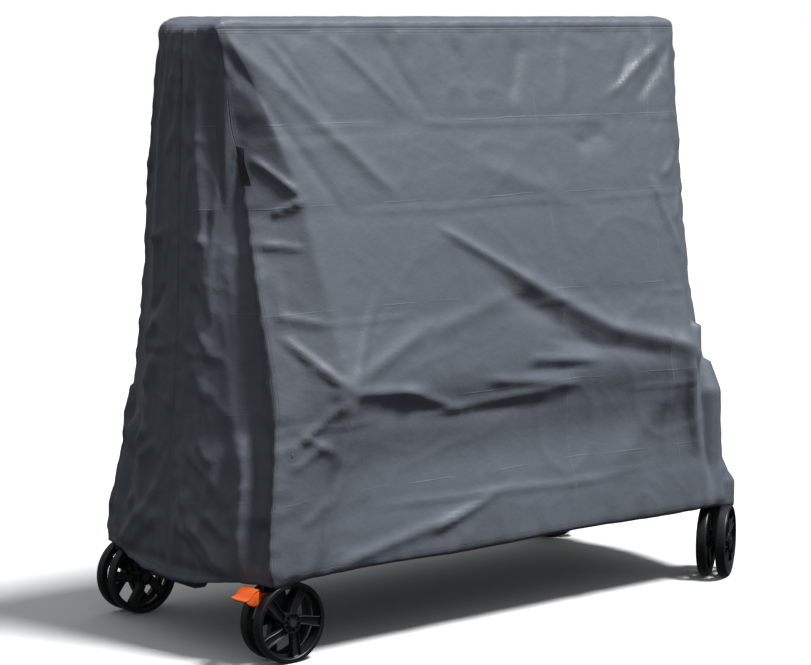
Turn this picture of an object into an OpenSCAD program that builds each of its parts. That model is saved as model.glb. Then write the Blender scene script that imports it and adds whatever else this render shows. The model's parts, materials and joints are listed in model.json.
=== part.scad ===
// Folding table-tennis table in its storage position: two half-tops folded upright on a
// rolling chassis, with the net left standing between them, under a fitted fabric cover.
// X runs along the long side of the folded table, Y through its depth and Z up. The origin
// is on the floor, under the middle of the object. All sizes are in millimetres.

/* [Half-tops] */
// Length of one half of the playing top, from the net to the end line
half_len = 1370; // [1100:10:1700]
// Width of the playing top
top_w = 1525; // [1200:5:1850]
// Thickness of the board
board_t = 6; // [4:0.5:12]
// Depth of the steel frame below the board
apron_h = 36; // [25:1:50]
// Width of the frame's tube
apron_w = 20; // [15:1:30]
// Distance from the net edge to the frame
apron_setback = 40; // [20:1:60]
// Radius of the board's corners
corner_r = 12; // [4:1:30]

/* [Folding] */
// Height of the playing surface when the table is open
play_h = 760; // [660:5:860]
// Height of the net edge when the half is folded up
folded_low = 170; // [160:5:220]
// Distance from the middle plane to the folded net edge
folded_out = 100; // [90:1:130]
// Inward lean of a folded half, in degrees
lean = 1; // [0:0.5:3]
// Half of the gap that the two open halves leave at the net
net_gap = 8; // [5:0.5:15]
// Radius of the pivot pins
pivot_r = 6; // [4:0.5:8]
// Running clearance of every pin in its bore
run_clear = 0.05; // [0.03:0.01:0.1]

/* [Legs] */
// Distance from the middle plane to a leg
leg_x = 585; // [450:5:650]
// Outer size of the square leg tube
leg_w = 30; // [20:1:40]
// Wall of the steel tubes
tube_wall = 2; // [1.5:0.5:3]
// Distance from the net edge to the leg's pivot
leg_pivot_u = 1135; // [900:5:1250]
// Distance from the playing surface to the leg's pivot
leg_pivot_w = 62; // [55:1:80]
// Angle by which a folded leg leans out, in degrees
leg_lean = 17.5; // [10:0.5:20]
// Side of the square foot pad
foot_w = 52; // [40:1:60]
// Thickness of the foot pad
foot_t = 26; // [15:1:35]

/* [Chassis] */
// Distance from the board's side edge to the centre line of an end frame
end_gap = 19.5; // [16:0.5:40]
// Outer size of the end frames' tubes
chassis_w = 30; // [24:1:36]
// Height of the end beams
beam_h = 40; // [30:1:50]
// Underside of the end beams
beam_low = 226; // [224:1:260]
// Height of the net above the playing surface
net_h = 152.5; // [140:0.5:160]
// Thickness of the net
net_t = 2; // [1:0.5:4]
// Width of the tape along the top of the net
tape_h = 15; // [10:1:20]

/* [Casters] */
// Distance from the middle plane to a swivel axis, through the depth
caster_y = 326; // [300:1:340]
// Diameter of the wheels
wheel_d = 200; // [160:5:204]
// Width of one wheel
wheel_w = 28; // [20:1:34]
// Gap between the two wheels of a caster
wheel_gap = 26; // [22:1:32]
// Distance from the swivel axis to the axle
trail = 36; // [25:1:45]
// Radius of the axle
axle_r = 6; // [4:0.5:8]
// Radius of the swivel stem
stem_r = 8; // [6:0.5:10]
// Turn of the two right casters out of line, in degrees
right_turn = 34; // [0:1:90]
// Width of the brake pedal
pedal_w = 62; // [40:1:76]
// Distance from the swivel axis to the pedal's lip
pedal_reach = 104; // [95:1:110]

/* [Cover] */
// Height of the cover above the folded halves
cover_over = 16.2; // [8:0.1:40]
// Distance from the board's side edge to the cover, along its top
cover_end_gap = 27.5; // [18:0.5:60]
// Half depth of the cover along its top
cover_top_y = 128; // [126:1:150]
// Distance from an end frame's centre line to the cover's hem
cover_hem_out = 86; // [60:1:120]
// Half depth of the cover where the legs' feet push it out
cover_knee_y = 404; // [402:1:450]
// Height at which the feet push the cover out
cover_knee_z = 640; // [560:5:760]
// Half depth of the cover along its hem
cover_hem_y = 406; // [402:1:460]
// Height of the hem
cover_hem_z = 206; // [205:1:230]
// Thickness that stands for the fabric and its folds
fabric_t = 3; // [2:0.5:4]
// Height of the elastic hem
hem_h = 24; // [15:1:40]

/* [Hidden] */
$fn = 48;

// Colours
steel = "#2b2d30";
plastic = "#17181a";
board_blue = "#1f4a7a";
fabric = "#4c5157";
orange = "#ff6e2d";
metal = "#a9adb0";

// Fold: a half turns from upright to level by fold_angle about a fixed line. Its place is
// worked out from the net edge's two positions, on the front side of the table.
fold_angle = 90 + lean;
edge_folded = [-folded_out, folded_low];
edge_open = [-net_gap, play_h];
edge_step = edge_open - edge_folded;
half_cot = 1 / (2 * tan(fold_angle / 2));
pivot_y = -(edge_folded[0] + edge_step[0] / 2 - half_cot * edge_step[1]);
pivot_z = edge_folded[1] + edge_step[1] / 2 + half_cot * edge_step[0];
// The pivot in the half's own plane: along it from the net edge, and below its surface
pivot_u = pivot_y - net_gap;
pivot_w = play_h - pivot_z;

// Half-top
rail_low = board_t;
rail_high = board_t + apron_h;
rail_gap = 0.5;
side_rail_x = top_w / 2 - rail_gap - apron_w / 2;
mid_rail_u = half_len / 2;
hinge_plate_t = 5;
hinge_plate_x = top_w / 2 - rail_gap - apron_w - hinge_plate_t / 2;
hinge_foot = 130;
hinge_eye_r = 20;

// Legs
leg_bracket_t = 3;
leg_play = 0.5;
leg_pin_r = 5;
leg_foot_clear = 3;
leg_len = play_h - leg_pivot_w - leg_foot_clear;
brace_at = 330;
brace_w = 25;
leg_y_folded = folded_out - leg_pivot_u * sin(lean) + leg_pivot_w * cos(lean);
leg_z_folded = folded_low + leg_pivot_u * cos(lean) + leg_pivot_w * sin(lean);

// Chassis
end_x = top_w / 2 + end_gap;
beam_top = beam_low + beam_h;
beam_half = pivot_y + chassis_w / 2 + 4;
upright_top = pivot_z + 24;
inner_x = end_x - chassis_w / 2;
rail_top = beam_low + chassis_w;
washer_t = 3;
// The uprights stand inside the hinge plates, a washer away from them
upright_x = hinge_plate_x - hinge_plate_t / 2 - 0.5 - washer_t - chassis_w / 2;
post_w = 24;
net_low = play_h + 2;
net_top = net_low + net_h;
cap_t = 3;
stem_flange_t = 3;
stem_top = beam_low + 22;
bearing_gap = 0.3;
block_y = [-36, caster_y - sqrt(pow(trail + wheel_d / 2, 2) + pow(wheel_gap / 2 + wheel_w, 2)) - 3];
block_z = [131, folded_low - 3];
block_in = 40;

// Casters, in a frame whose origin is on the floor below the swivel axis and whose +X
// points towards the axle
axle_z = wheel_d / 2;
wheel_mid = wheel_gap / 2 + wheel_w / 2;
axle_half = wheel_gap / 2 + wheel_w + 1;
cap_r = axle_r + 3;
fork_t = wheel_gap - 6;
fork_top = beam_low - stem_flange_t - bearing_gap;
fork_head_low = wheel_d + 2;
hub_r = 19;
rim_in = 0.84 * wheel_d / 2;
tread_r = wheel_d / 2;
groove = 1.2;
spoke_n = 5;
spoke_t = 13;
spoke_w = 15;
spoke_bow = 70;
pedal_pin = [-20, wheel_d - 32];
pedal_pin_r = 3;
pedal_boss_t = 12;
pedal_arm_t = 4.5;
pedal_arm_gap = 0.4;
pedal_t = 4;

// Cover
cover_top_z = folded_low + half_len * cos(lean) + cover_over;
cover_top_x = top_w / 2 + cover_end_gap;
cover_hem_x = end_x + cover_hem_out;
cover_slope = (cover_hem_x - cover_top_x) / (cover_top_z - cover_hem_z);
hem_low = cover_hem_z + hem_h;
tag_z = [1150, 1250];
tag_w = 30;
tag_t = 1.5;

// ---------- helpers ----------

// Places a solid drawn in a half's own plane: local X stays, local Y runs from the net edge
// to the end line and local Z from the playing surface towards the underside
module on_half(side) {
    mirror([0, side > 0 ? 1 : 0, 0])
        translate([0, -folded_out, folded_low])
            rotate([90 - lean, 0, 0])
                children();
}

// A box from its low corner to its high corner
module block(low, high) {
    translate(low) cube(high - low);
}

// A square tube along its own length, with an open bore
module square_tube(w, h, length, wall) {
    difference() {
        translate([-w / 2, -h / 2, 0]) cube([w, h, length]);
        translate([-w / 2 + wall, -h / 2 + wall, -1])
            cube([w - 2 * wall, h - 2 * wall, length + 2]);
    }
}

// A cylinder along X, centred on a point
module x_pin(r, length, at = [0, 0, 0]) {
    translate(at) rotate([0, 90, 0]) cylinder(r = r, h = length, center = true);
}

// A cylinder along Y, centred on a point
module y_pin(r, length, at = [0, 0, 0]) {
    translate(at) rotate([90, 0, 0]) cylinder(r = r, h = length, center = true);
}

// ---------- chassis ----------

module end_beam(side) {
    color(steel)
        difference() {
            translate([side * end_x, 0, beam_low + beam_h / 2])
                rotate([90, 0, 0])
                    translate([0, 0, -beam_half])
                        square_tube(chassis_w, beam_h, 2 * beam_half, tube_wall);
            for (s = [-1, 1])
                translate([side * end_x, s * caster_y, beam_low - 1])
                    cylinder(r = stem_r + run_clear, h = tube_wall + 2);
        }
}

module upright(side, face) {
    color(steel)
        difference() {
            translate([side * upright_x, face * pivot_y, rail_top])
                square_tube(chassis_w, chassis_w, upright_top - rail_top, tube_wall);
            x_pin(pivot_r + run_clear, chassis_w + 2, [side * upright_x, face * pivot_y, pivot_z]);
        }
}

module cross_rail(face) {
    color(steel)
        translate([-inner_x, face * pivot_y, beam_low + chassis_w / 2])
            rotate([0, 90, 0])
                square_tube(chassis_w, chassis_w, 2 * inner_x, tube_wall);
}

// The pins pass through the uprights and carry the hinge plates outside them, between a
// washer and a head
module pivot_pins() {
    pin_in = upright_x - chassis_w / 2;
    pin_out = hinge_plate_x + hinge_plate_t / 2 + 0.5;
    washer_x = pin_in + chassis_w + washer_t / 2;
    color(metal)
        for (s = [-1, 1], f = [-1, 1]) {
            at = [0, f * pivot_y, pivot_z];
            x_pin(pivot_r, pin_out - pin_in, at + [s * (pin_out + pin_in) / 2, 0, 0]);
            x_pin(pivot_r + 5, washer_t, at + [s * washer_x, 0, 0]);
            x_pin(pivot_r + 5, 4, at + [s * (pin_out + 2), 0, 0]);
            x_pin(pivot_r + 6, 4, at + [s * (pin_in - 2), 0, 0]);
        }
}

module swivel_stems() {
    color(metal)
        for (s = [-1, 1], f = [-1, 1])
            translate([s * end_x, f * caster_y, 0]) {
                translate([0, 0, fork_head_low - 30])
                    cylinder(r = stem_r, h = stem_top - fork_head_low + 30);
                translate([0, 0, beam_low - stem_flange_t])
                    cylinder(r = stem_r + 7, h = stem_flange_t);
            }
}

module net_posts() {
    color(steel)
        for (s = [-1, 1])
            translate([s * end_x, 0, beam_top]) {
                square_tube(post_w, post_w, net_top - beam_top + 4, tube_wall);
                for (z = [net_low + 8, net_top - 22])
                    translate([-s * post_w / 2 - (s > 0 ? 3 : 0), -5, z - beam_top])
                        cube([3, 10, 14]);
            }
}

module net() {
    half = end_x - post_w / 2 - 3;
    color("white")
        block([-half, -net_t / 2, net_low], [half, net_t / 2, net_top - tape_h]);
}

module net_tape() {
    half = end_x - post_w / 2 - 3;
    color("white")
        difference() {
            block([-half, -net_t, net_top - tape_h], [half, net_t, net_top]);
            x_pin(1, 2 * half + 2, [0, 0, net_top - tape_h / 2]);
        }
}

module tube_caps() {
    color(plastic)
        for (s = [-1, 1]) {
            for (f = [-1, 1]) {
                block([s * end_x - chassis_w / 2, f > 0 ? beam_half : -beam_half - cap_t, beam_low],
                      [s * end_x + chassis_w / 2, f > 0 ? beam_half + cap_t : -beam_half, beam_top]);
                translate([s * upright_x - chassis_w / 2, f * pivot_y - chassis_w / 2, upright_top])
                    cube([chassis_w, chassis_w, cap_t]);
            }
            translate([s * end_x - post_w / 2, -post_w / 2, net_top + 4])
                cube([post_w, post_w, cap_t]);
        }
}

// The moulded block hangs from the left end beam, and its foot stops the back half's net edge
module rest_block() {
    chamfer = 12;
    color(plastic)
        translate([-end_x - chassis_w / 2, 0, 0])
            rotate([90, 0, 90]) {
                linear_extrude(chassis_w)
                    polygon([
                        [block_y[0] + chamfer, block_z[0]], [block_y[1], block_z[0]],
                        [block_y[1], beam_low], [block_y[0], beam_low],
                        [block_y[0], block_z[0] + chamfer],
                    ]);
                translate([folded_out - 14, block_z[0] + 10, chassis_w])
                    cube([60, block_z[1] - block_z[0] - 10, block_in]);
            }
}

// ---------- half-tops ----------

module board(side) {
    color(board_blue)
        on_half(side)
            linear_extrude(board_t)
                difference() {
                    translate([-top_w / 2, 0]) square([top_w, half_len]);
                    for (s = [-1, 1])
                        translate([s * top_w / 2, half_len])
                            difference() {
                                square(2 * corner_r, center = true);
                                translate([-s * corner_r, -corner_r]) circle(corner_r);
                            }
                }
}

module side_rails(side) {
    color(steel)
        on_half(side)
            for (s = [-1, 1])
                translate([s * side_rail_x, apron_setback, (rail_low + rail_high) / 2])
                    rotate([-90, 0, 0])
                        square_tube(apron_w, apron_h, half_len - apron_setback - 2, tube_wall);
}

module cross_rails(side) {
    reach = side_rail_x - apron_w / 2;
    color(steel)
        on_half(side)
            for (u = [apron_setback + apron_w / 2, mid_rail_u, half_len - 2 - apron_w / 2])
                translate([-reach, u, (rail_low + rail_high) / 2])
                    rotate([0, 90, 0])
                        square_tube(apron_h, apron_w, 2 * reach, tube_wall);
}

// A plate on the inner face of each side rail, tapering to an eye on the pivot pin
module hinge_plates(side) {
    wing = hinge_eye_r * 0.98;
    color(metal)
        on_half(side)
            for (s = [-1, 1])
                translate([s * hinge_plate_x - hinge_plate_t / 2, 0, 0])
                    difference() {
                        rotate([90, 0, 90])
                            linear_extrude(hinge_plate_t)
                                difference() {
                                    union() {
                                        polygon([
                                            [pivot_u - hinge_foot, rail_low + 2],
                                            [pivot_u + hinge_foot, rail_low + 2],
                                            [pivot_u + hinge_foot, rail_high],
                                            [pivot_u + wing, pivot_w],
                                            [pivot_u - wing, pivot_w],
                                            [pivot_u - hinge_foot, rail_high],
                                        ]);
                                        translate([pivot_u, pivot_w]) circle(hinge_eye_r);
                                    }
                                    translate([pivot_u, (rail_high + pivot_w) / 2 - 10]) circle(26);
                                }
                        x_pin(pivot_r + run_clear, 3 * hinge_plate_t, [hinge_plate_t / 2, pivot_u, pivot_w]);
                    }
}

// Two cheeks and a base under the board hold each leg on a cross pin
module leg_brackets(side) {
    cheek_x = leg_w / 2 + leg_play;
    cheek_u = 26;
    color(metal)
        on_half(side)
            for (s = [-1, 1])
                translate([s * leg_x, leg_pivot_u, 0]) {
                    block([-cheek_x - 22, -cheek_u, rail_low],
                          [cheek_x + 22, cheek_u, rail_low + leg_bracket_t]);
                    for (c = [-1, 1])
                        translate([c > 0 ? cheek_x : -cheek_x - leg_bracket_t, 0, 0])
                            block([0, -cheek_u, rail_low + leg_bracket_t],
                                  [leg_bracket_t, cheek_u, leg_pivot_w + 14]);
                    x_pin(leg_pin_r, 2 * (cheek_x + leg_bracket_t) + 6, [0, 0, leg_pivot_w]);
                }
}

// ---------- legs ----------

// Places a solid drawn with its pivot at the origin and the leg along -Z
module on_leg(side) {
    mirror([0, side > 0 ? 1 : 0, 0])
        translate([0, -leg_y_folded, leg_z_folded])
            rotate([-leg_lean, 0, 0])
                children();
}

module leg(side, s) {
    shaft_top = 12;
    color(steel)
        on_leg(side)
            difference() {
                translate([s * leg_x, 0, shaft_top])
                    mirror([0, 0, 1])
                        square_tube(leg_w, leg_w, leg_len - foot_t + shaft_top, tube_wall);
                x_pin(leg_pin_r + run_clear, leg_w + 2, [s * leg_x, 0, 0]);
            }
}

module leg_brace(side) {
    reach = leg_x - leg_w / 2;
    color(steel)
        on_leg(side)
            translate([-reach, 0, -brace_at])
                rotate([0, 90, 0])
                    square_tube(brace_w, brace_w, 2 * reach, tube_wall);
}

// Each foot caps its tube and has a screwed pad below
module feet(side) {
    color(plastic)
        on_leg(side)
            for (s = [-1, 1])
                translate([s * leg_x, 0, -leg_len]) {
                    block([-foot_w / 2, -foot_w / 2, 0], [foot_w / 2, foot_w / 2, foot_t * 0.5]);
                    block([-leg_w / 2, -leg_w / 2, foot_t * 0.5], [leg_w / 2, leg_w / 2, foot_t]);
                }
}

// ---------- cover ----------

// Half length of the cover at a height
function cover_x(z) = cover_top_x + cover_slope * (cover_top_z - z);

// Solid between two matching convex or folded outlines, as rows of [left, right] points
module sheet(outer, inner) {
    n = len(outer);
    points = concat(
        [for (row = outer) each row],
        [for (row = inner) each row]
    );
    m = 2 * n;
    faces = concat(
        [for (i = [0:n - 2]) [2 * i, 2 * i + 1, 2 * i + 3, 2 * i + 2]],
        [for (i = [0:n - 2]) [m + 2 * i, m + 2 * i + 2, m + 2 * i + 3, m + 2 * i + 1]],
        [for (i = [0:n - 2]) [2 * i, 2 * i + 2, m + 2 * i + 2, m + 2 * i]],
        [for (i = [0:n - 2]) [2 * i + 1, m + 2 * i + 1, m + 2 * i + 3, 2 * i + 3]],
        [[0, m, m + 1, 1]],
        [[2 * n - 2, 2 * n - 1, m + 2 * n - 1, m + 2 * n - 2]]
    );
    polyhedron(points, faces);
}

// Rows of one long side, from the top down, at an inset from the outer face
function side_rows(face, inset, low) = [
    for (p = [[cover_top_y, cover_top_z], [cover_knee_y, cover_knee_z], [cover_hem_y, low]])
        [for (s = [-1, 1]) [s * (cover_x(p[1]) - fabric_t), face * (p[0] - inset), p[1]]]
];

module cover_side(face) {
    color(fabric)
        if (face < 0) sheet(side_rows(-1, 0, hem_low), side_rows(-1, fabric_t, hem_low));
        else mirror([0, 1, 0]) sheet(side_rows(-1, 0, hem_low), side_rows(-1, fabric_t, hem_low));
}

// Rows of one end, between the two long sides, at an inset from the outer face
function end_rows(inset, low) = [
    for (p = [[cover_top_y, cover_top_z], [cover_knee_y, cover_knee_z], [cover_hem_y, low]])
        [for (s = [1, -1]) [-cover_x(p[1]) + inset, s * p[0], p[1]]]
];

module cover_end(side) {
    color(fabric)
        mirror([side > 0 ? 1 : 0, 0, 0])
            sheet(end_rows(0, hem_low), end_rows(fabric_t, hem_low));
}

module cover_top() {
    x = cover_top_x - fabric_t;
    y = cover_top_y - fabric_t;
    color(fabric)
        block([-x, -y, cover_top_z - fabric_t], [x, y, cover_top_z]);
}

module cover_hem() {
    x = cover_hem_x;
    y = cover_hem_y;
    color(fabric)
        difference() {
            block([-x, -y, cover_hem_z], [x, y, hem_low]);
            block([-x + fabric_t, -y + fabric_t, cover_hem_z - 1],
                  [x - fabric_t, y - fabric_t, hem_low + 1]);
        }
}

// The tag stands out from the seam between the front and the left end
module label_tag() {
    z = (tag_z[0] + tag_z[1]) / 2;
    seam_y = cover_top_y + (cover_knee_y - cover_top_y) * (cover_top_z - z)
        / (cover_top_z - cover_knee_z);
    tilt = atan((cover_knee_y - cover_top_y) / (cover_top_z - cover_knee_z));
    color(plastic)
        translate([-cover_x(z) + 4, -seam_y, z])
            rotate([-tilt, 0, 0])
                translate([0, -tag_t - 0.3, (tag_z[0] - tag_z[1]) / 2])
                    cube([tag_w, tag_t, tag_z[1] - tag_z[0]]);
}

// ---------- casters ----------

// Places a caster: side is -1 for left and 1 for right, face is -1 for front and 1 for back
module on_caster(side, face, turn = 0) {
    translate([side * end_x, face * caster_y, 0])
        rotate([0, 0, (side > 0 ? 180 : 0) + turn])
            children();
}

// A head that turns on the stem, an arm down between the wheels and a boss on the axle
module caster_fork(brake) {
    head_r = 25;
    bore_low = fork_head_low - 31;
    arm = [[-24, fork_top - 8], [26, fork_top - 8], [56, axle_z + 10], [48, axle_z - 16],
           [22, axle_z - 16], [10, axle_z + 28], [-14, axle_z + 48], [-24, fork_head_low - 30]];
    color(plastic)
        difference() {
            union() {
                rotate([90, 0, 0])
                    linear_extrude(fork_t, center = true) polygon(arm);
                translate([0, 0, fork_head_low]) cylinder(r = head_r, h = fork_top - fork_head_low);
                y_pin(hub_r, fork_t, [trail, 0, axle_z]);
                if (brake)
                    y_pin(9, pedal_boss_t, [pedal_pin[0], 0, pedal_pin[1]]);
            }
            translate([0, 0, bore_low])
                cylinder(r = stem_r + run_clear, h = fork_top - bore_low + 1);
            y_pin(axle_r, fork_t + 2, [trail, 0, axle_z]);
            if (brake) {
                // Room for the pedal's two arms beside the boss
                for (s = [-1, 1])
                    translate([-60 + pedal_pin[0] + 12, s > 0 ? pedal_boss_t / 2 : -fork_t, axle_z + 20])
                        cube([60, fork_t - pedal_boss_t / 2, fork_head_low - axle_z - 26]);
                y_pin(pedal_pin_r + run_clear, fork_t + 2, [pedal_pin[0], 0, pedal_pin[1]]);
            }
        }
}

module caster_axle() {
    color(metal) {
        y_pin(axle_r, 2 * axle_half, [trail, 0, axle_z]);
        for (s = [-1, 1])
            y_pin(cap_r, 2, [trail, s * (axle_half + 1), axle_z]);
    }
}

// One wheel about the origin, its axis along Y and its outer face at +Y
module wheel() {
    w = wheel_w / 2;
    color(plastic)
        rotate([-90, 0, 0])
            difference() {
                union() {
                    rotate_extrude($fn = 96)
                        polygon([
                            [rim_in, -w], [tread_r - 4, -w], [tread_r, -w + 4], [tread_r, w - 4],
                            [tread_r - 4, w], [tread_r - 8, w], [tread_r - 8, w - groove],
                            [tread_r - 10, w - groove], [tread_r - 10, w], [rim_in, w],
                        ]);
                    cylinder(r = hub_r, h = wheel_w, center = true);
                    for (i = [0:spoke_n - 1])
                        rotate([0, 0, i * 360 / spoke_n]) spoke();
                }
                cylinder(r = axle_r + run_clear, h = wheel_w + 2, center = true);
            }
}

// A bowed arm from the hub to the rim
module spoke() {
    reach = rim_in + 1;
    linear_extrude(spoke_w, center = true)
        intersection() {
            translate([hub_r - 2, -reach / 2]) square([reach - hub_r + 2, reach]);
            translate([reach / 2, -spoke_bow])
                difference() {
                    circle(spoke_bow + spoke_t / 2, $fn = 96);
                    circle(spoke_bow - spoke_t / 2, $fn = 96);
                }
        }
}

module caster_wheel(outer) {
    translate([trail, outer * wheel_mid, axle_z])
        mirror([0, outer > 0 ? 0 : 1, 0]) wheel();
}

// Two arms on the pin carry a paddle with an upturned lip
module brake_pedal() {
    pin = pedal_pin;
    arm_out = pedal_boss_t / 2 + pedal_arm_gap;
    paddle_in = [-(wheel_d / 2 - trail) + 6, wheel_d - 9];
    lip = [-pedal_reach, wheel_d - 37];
    color(orange)
        rotate([90, 0, 0])
            difference() {
                union() {
                    for (s = [-1, 1])
                        translate([0, 0, s > 0 ? arm_out : -arm_out - pedal_arm_t])
                            linear_extrude(pedal_arm_t) {
                                polygon([
                                    [pin[0] + 5, pin[1] - 7], [pin[0] + 5, pin[1] + 7],
                                    [paddle_in[0], paddle_in[1]],
                                    [paddle_in[0] - 4, paddle_in[1] - 12],
                                    [pin[0] - 8, pin[1] - 7],
                                ]);
                                translate(pin) circle(7);
                            }
                    linear_extrude(pedal_w, center = true)
                        polygon([
                            paddle_in, [paddle_in[0] - 5, paddle_in[1] - 2],
                            [lip[0] + 18, lip[1] + 3], [lip[0] + 6, lip[1] + 2], lip + [0, 4],
                            lip + [1, 0], lip + [8, -pedal_t + 2], [lip[0] + 20, lip[1] - pedal_t + 3],
                            [paddle_in[0] - 6, paddle_in[1] - pedal_t - 5],
                            [paddle_in[0], paddle_in[1] - pedal_t],
                        ]);
                }
                translate(pin)
                    cylinder(r = pedal_pin_r + run_clear, h = pedal_w + 2, center = true);
            }
}

// ---------- nodes ----------

end_beam(-1);  // end_beam_left
end_beam(1);  // end_beam_right
upright(-1, -1);  // upright_front_left
upright(1, -1);  // upright_front_right
upright(-1, 1);  // upright_back_left
upright(1, 1);  // upright_back_right
cross_rail(-1);  // cross_rail_front
cross_rail(1);  // cross_rail_back
pivot_pins();
swivel_stems();
net_posts();
net();
net_tape();
tube_caps();
rest_block();

board(-1);  // front_board
side_rails(-1);  // front_side_rails
cross_rails(-1);  // front_cross_rails
hinge_plates(-1);  // front_hinge_plates
leg_brackets(-1);  // front_leg_brackets
board(1);  // back_board
side_rails(1);  // back_side_rails
cross_rails(1);  // back_cross_rails
hinge_plates(1);  // back_hinge_plates
leg_brackets(1);  // back_leg_brackets

leg(-1, -1);  // front_leg_left
leg(-1, 1);  // front_leg_right
leg_brace(-1);  // front_leg_brace
feet(-1);  // front_feet
leg(1, -1);  // back_leg_left
leg(1, 1);  // back_leg_right
leg_brace(1);  // back_leg_brace
feet(1);  // back_feet

cover_top();
cover_side(-1);  // cover_front
cover_side(1);  // cover_back
cover_end(-1);  // cover_end_left
cover_end(1);  // cover_end_right
cover_hem();
label_tag();

on_caster(-1, -1) caster_fork(true);  // caster_fork_front_left
on_caster(-1, -1) caster_axle();  // caster_axle_front_left
on_caster(-1, -1) caster_wheel(-1);  // wheel_outer_front_left
on_caster(-1, -1) caster_wheel(1);  // wheel_inner_front_left
on_caster(1, -1, right_turn) caster_fork(false);  // caster_fork_front_right
on_caster(1, -1, right_turn) caster_axle();  // caster_axle_front_right
on_caster(1, -1, right_turn) caster_wheel(1);  // wheel_outer_front_right
on_caster(1, -1, right_turn) caster_wheel(-1);  // wheel_inner_front_right
on_caster(-1, 1) caster_fork(false);  // caster_fork_back_left
on_caster(-1, 1) caster_axle();  // caster_axle_back_left
on_caster(-1, 1) caster_wheel(1);  // wheel_outer_back_left
on_caster(-1, 1) caster_wheel(-1);  // wheel_inner_back_left
on_caster(1, 1, -right_turn) caster_fork(true);  // caster_fork_back_right
on_caster(1, 1, -right_turn) caster_axle();  // caster_axle_back_right
on_caster(1, 1, -right_turn) caster_wheel(-1);  // wheel_outer_back_right
on_caster(1, 1, -right_turn) caster_wheel(1);  // wheel_inner_back_right
on_caster(-1, -1) brake_pedal();  // brake_pedal_front_left
on_caster(1, 1, -right_turn) brake_pedal();  // brake_pedal_back_right
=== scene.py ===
"""Folding table-tennis table, folded upright on its casters under a fitted cover."""

import json
import math
import random

import bmesh
import bpy
import numpy as np
from mathutils import Matrix, Vector, noise


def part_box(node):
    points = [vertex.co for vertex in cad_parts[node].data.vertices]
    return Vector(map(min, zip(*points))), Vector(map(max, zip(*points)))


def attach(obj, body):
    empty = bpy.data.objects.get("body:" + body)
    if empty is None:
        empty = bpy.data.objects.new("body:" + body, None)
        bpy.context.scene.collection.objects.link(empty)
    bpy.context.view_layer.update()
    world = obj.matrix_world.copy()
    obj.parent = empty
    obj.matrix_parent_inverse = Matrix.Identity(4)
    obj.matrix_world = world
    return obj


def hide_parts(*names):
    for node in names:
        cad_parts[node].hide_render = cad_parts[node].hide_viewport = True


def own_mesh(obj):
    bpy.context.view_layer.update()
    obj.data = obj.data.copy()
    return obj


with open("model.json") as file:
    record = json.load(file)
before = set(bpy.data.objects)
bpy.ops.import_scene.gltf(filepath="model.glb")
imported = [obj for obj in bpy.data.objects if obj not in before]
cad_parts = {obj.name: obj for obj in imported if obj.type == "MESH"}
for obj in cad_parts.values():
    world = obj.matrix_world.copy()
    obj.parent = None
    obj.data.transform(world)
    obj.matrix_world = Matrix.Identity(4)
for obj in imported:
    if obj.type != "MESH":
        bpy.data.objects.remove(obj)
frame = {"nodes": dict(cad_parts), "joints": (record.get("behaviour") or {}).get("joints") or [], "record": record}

bl_info = {
    "name": "Covered Table-Tennis Table",
    "version": (1, 0, 0),
    "blender": (4, 5, 0),
    "location": "3D View > Sidebar > Table",
    "description": "Fabric cover, casters and finishes for a folded table-tennis table",
    "category": "Object",
}

JOINTS = {joint["name"]: joint for joint in frame["joints"]}
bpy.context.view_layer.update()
CORNERS = ("front_left", "front_right", "back_left", "back_right")
BRAKED = ("front_left", "back_right")


# ---------------------------------------------------------------- settings

class CoverSettings(bpy.types.PropertyGroup):
    """Sizes and colour of the fabric cover."""

    hem_height: bpy.props.FloatProperty(
        name="Hem height", description="Height of the hem along the long sides",
        default=0.210, unit="LENGTH")
    crown: bpy.props.FloatProperty(
        name="Crown", description="How far the top panel rises above its seam",
        default=0.031, unit="LENGTH")
    thickness: bpy.props.FloatProperty(
        name="Thickness", description="Thickness of the coated fabric with its lining",
        default=0.0012, unit="LENGTH")
    fold_depth: bpy.props.FloatProperty(
        name="Fold depth", description="Scale of every fold and crease",
        default=1.0, min=0.0, max=2.0)
    seed: bpy.props.IntProperty(
        name="Seed", description="Start value of the folds' random draws", default=7)
    colour: bpy.props.FloatVectorProperty(
        name="Fabric", description="Colour of the fabric", subtype="COLOR", size=3,
        default=(0.130, 0.147, 0.178))


class TableSettings(bpy.types.PropertyGroup):
    """Colours of the table under the cover."""

    board_colour: bpy.props.FloatVectorProperty(
        name="Board", description="Colour of the playing top", subtype="COLOR", size=3,
        default=(0.020, 0.085, 0.210))
    line_width: bpy.props.FloatProperty(
        name="Line", description="Width of the white edge lines", default=0.020, unit="LENGTH")
    steel_colour: bpy.props.FloatVectorProperty(
        name="Frame", description="Colour of the powder-coated steel", subtype="COLOR", size=3,
        default=(0.030, 0.032, 0.036))


class CasterSettings(bpy.types.PropertyGroup):
    """Sizes and colours of the casters."""

    spokes: bpy.props.IntProperty(
        name="Spokes", description="Spokes in each wheel", default=5, min=3, max=9)
    hub_pockets: bpy.props.IntProperty(
        name="Hub pockets", description="Small pockets round the hub", default=10)
    plastic_colour: bpy.props.FloatVectorProperty(
        name="Plastic", description="Colour of the moulded wheels", subtype="COLOR", size=3,
        default=(0.010, 0.011, 0.013))
    pedal_colour: bpy.props.FloatVectorProperty(
        name="Pedal", description="Colour of the brake pedals", subtype="COLOR", size=3,
        default=(1.0, 0.135, 0.022))


# ---------------------------------------------------------------- shader helpers

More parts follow.
